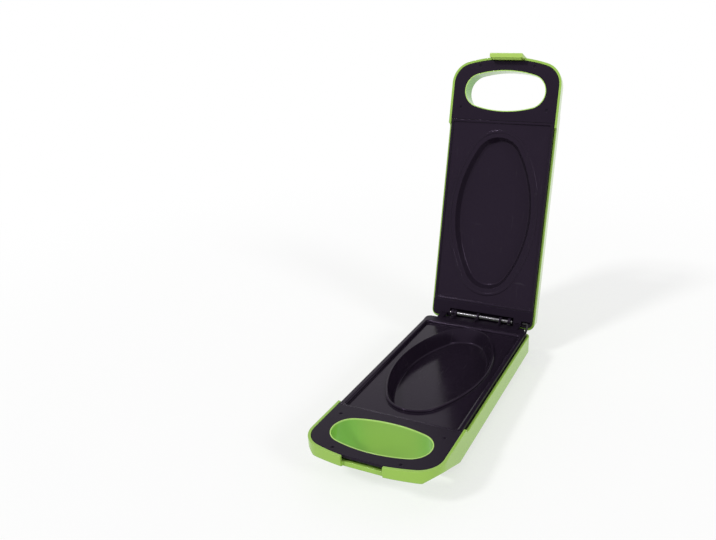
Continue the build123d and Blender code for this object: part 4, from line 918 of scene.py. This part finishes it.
class BuildStudio(bpy.types.Operator):
    """Set the camera, the floor, the even light and the lamps."""

    bl_idname = "grill.build_studio"
    bl_label = "Camera, floor and light"

    def execute(self, context):
        scene, studio = context.scene, context.scene.grill_studio
        scene.view_settings.view_transform = "Standard"
        self.add_camera(scene, studio)
        self.add_floor(studio)
        self.add_sky(scene, studio)
        self.add_lamps(studio)
        return {"FINISHED"}

    def add_camera(self, scene, studio):
        """The camera, from its turn, tilt and roll."""
        turn, tilt, roll = studio.camera_turn, studio.camera_tilt, studio.camera_roll
        back = Vector((math.sin(turn) * math.cos(tilt), -math.cos(turn) * math.cos(tilt),
                       math.sin(tilt)))
        level = (-back).cross(UPWARD).normalized()
        lowered = (-back).cross(level)
        right = math.cos(roll) * level + math.sin(roll) * lowered
        down = -math.sin(roll) * level + math.cos(roll) * lowered
        camera = add_object("Camera", bpy.data.cameras.new("Camera"))
        turned = Matrix((right, -down, back)).transposed().to_4x4()
        camera.matrix_world = Matrix.Translation(studio.camera_place) @ turned
        camera.data.sensor_width = SENSOR_WIDTH
        camera.data.lens = studio.lens
        camera.data.shift_x = studio.shift
        camera.data.clip_start = NEAREST_SEEN
        scene.camera = camera

    def add_floor(self, studio):
        """A wide plain floor that goes over into the white background away from the grill."""
        mesh = bpy.data.meshes.new("Floor")
        corners = [(side * FLOOR_REACH, end * FLOOR_REACH, 0.0)
                   for side, end in ((-1, -1), (1, -1), (1, 1), (-1, 1))]
        mesh.from_pydata(corners, [], [(0, 1, 2, 3)])
        floor = add_object("Floor", mesh)
        finish = Finish("Floor paper", Roughness=0.9, Specular_IOR_Level=0.1)
        skin = finish.group("Moulded skin", Colour=rgba(studio.floor), Drift=0.01, Peel_size=0.004,
                            Grain_size=0.0008)
        finish.paint(skin["Colour"])
        nodes = finish.nodes
        away = nodes.add("ShaderNodeVectorMath", {0: nodes.place()},
                         operation="LENGTH").outputs["Value"]
        share = nodes.between(nodes.ramp(away, *FLOOR_BLEND), FLOOR_WHITE, 1.0)
        blend = nodes.add("ShaderNodeMixShader", {0: nodes.times(share, nodes.seen())})
        white = nodes.add("ShaderNodeEmission", {"Color": WHITE, "Strength": 1.0})
        nodes.feed(blend.inputs[1], finish.shader.outputs[0])
        nodes.feed(blend.inputs[2], white.outputs[0])
        nodes.feed(finish.surface, blend.outputs[0])
        floor.data.materials.append(finish.material)

    def add_sky(self, scene, studio):
        """Even light; the camera, gloss and glass see it as a white background."""
        world = bpy.data.worlds.new("Studio sky")
        scene.world = world
        world.use_nodes = True
        world.node_tree.nodes.clear()
        nodes = Nodes(world.node_tree)
        strength = nodes.between(nodes.seen(), studio.sky, 1.0)
        sky = nodes.add("ShaderNodeBackground", {"Color": WHITE, "Strength": strength})
        nodes.add("ShaderNodeOutputWorld", {"Surface": sky.outputs[0]})

    def add_lamps(self, studio):
        """A broad key lamp from the upper left, and a weak one from the right for the edges."""
        for name, share, size, tilt, turn in LAMPS:
            lamp = bpy.data.lights.new(name, "SUN")
            lamp.energy = studio.key * share
            lamp.angle = math.radians(size)
            placed = add_object(name, lamp)
            placed.rotation_euler = (math.radians(tilt), 0.0, math.radians(turn))


# The add-on

OPERATORS = (
    BuildGroups, FinishShells, BuildCreases, FinishLatch, FinishPlugs, FinishTrim, BuildLeadGuard,
    FinishPlates, FinishHingePin, FinishScrews, FinishHeaters, FinishControls, FinishWiring,
    FinishLamp, BuildStudio)


class GrillPanel(bpy.types.Panel):
    """The grill's finishes, sizes and studio in the sidebar."""

    bl_idname = "VIEW3D_PT_grill"
    bl_label = "Contact Grill"
    bl_space_type = "VIEW_3D"
    bl_region_type = "UI"
    bl_category = "Grill"

    def draw(self, context):
        layout = self.layout
        scene = context.scene
        for settings in (scene.grill_colours, scene.grill_relief, scene.grill_studio):
            box = layout.box()
            for key in settings.bl_rna.properties.keys():
                if key not in ("rna_type", "name"):
                    box.prop(settings, key)
        column = layout.column(align=True)
        for operator in OPERATORS:
            column.operator(operator.bl_idname)


CLASSES = (GrillColours, GrillRelief, GrillStudio, *OPERATORS, GrillPanel)


def register():
    """Registers the classes and adds their settings to the scene."""
    for item in CLASSES:
        bpy.utils.register_class(item)
    bpy.types.Scene.grill_colours = PointerProperty(type=GrillColours)
    bpy.types.Scene.grill_relief = PointerProperty(type=GrillRelief)
    bpy.types.Scene.grill_studio = PointerProperty(type=GrillStudio)


def unregister():
    """Removes the settings and the classes."""
    del bpy.types.Scene.grill_studio
    del bpy.types.Scene.grill_relief
    del bpy.types.Scene.grill_colours
    for item in reversed(CLASSES):
        bpy.utils.unregister_class(item)


def main():
    """Builds everything in order."""
    register()
    for operator in OPERATORS:
        family, name = operator.bl_idname.split(".")
        getattr(getattr(bpy.ops, family), name)()


if __name__ == "__main__":
    main()
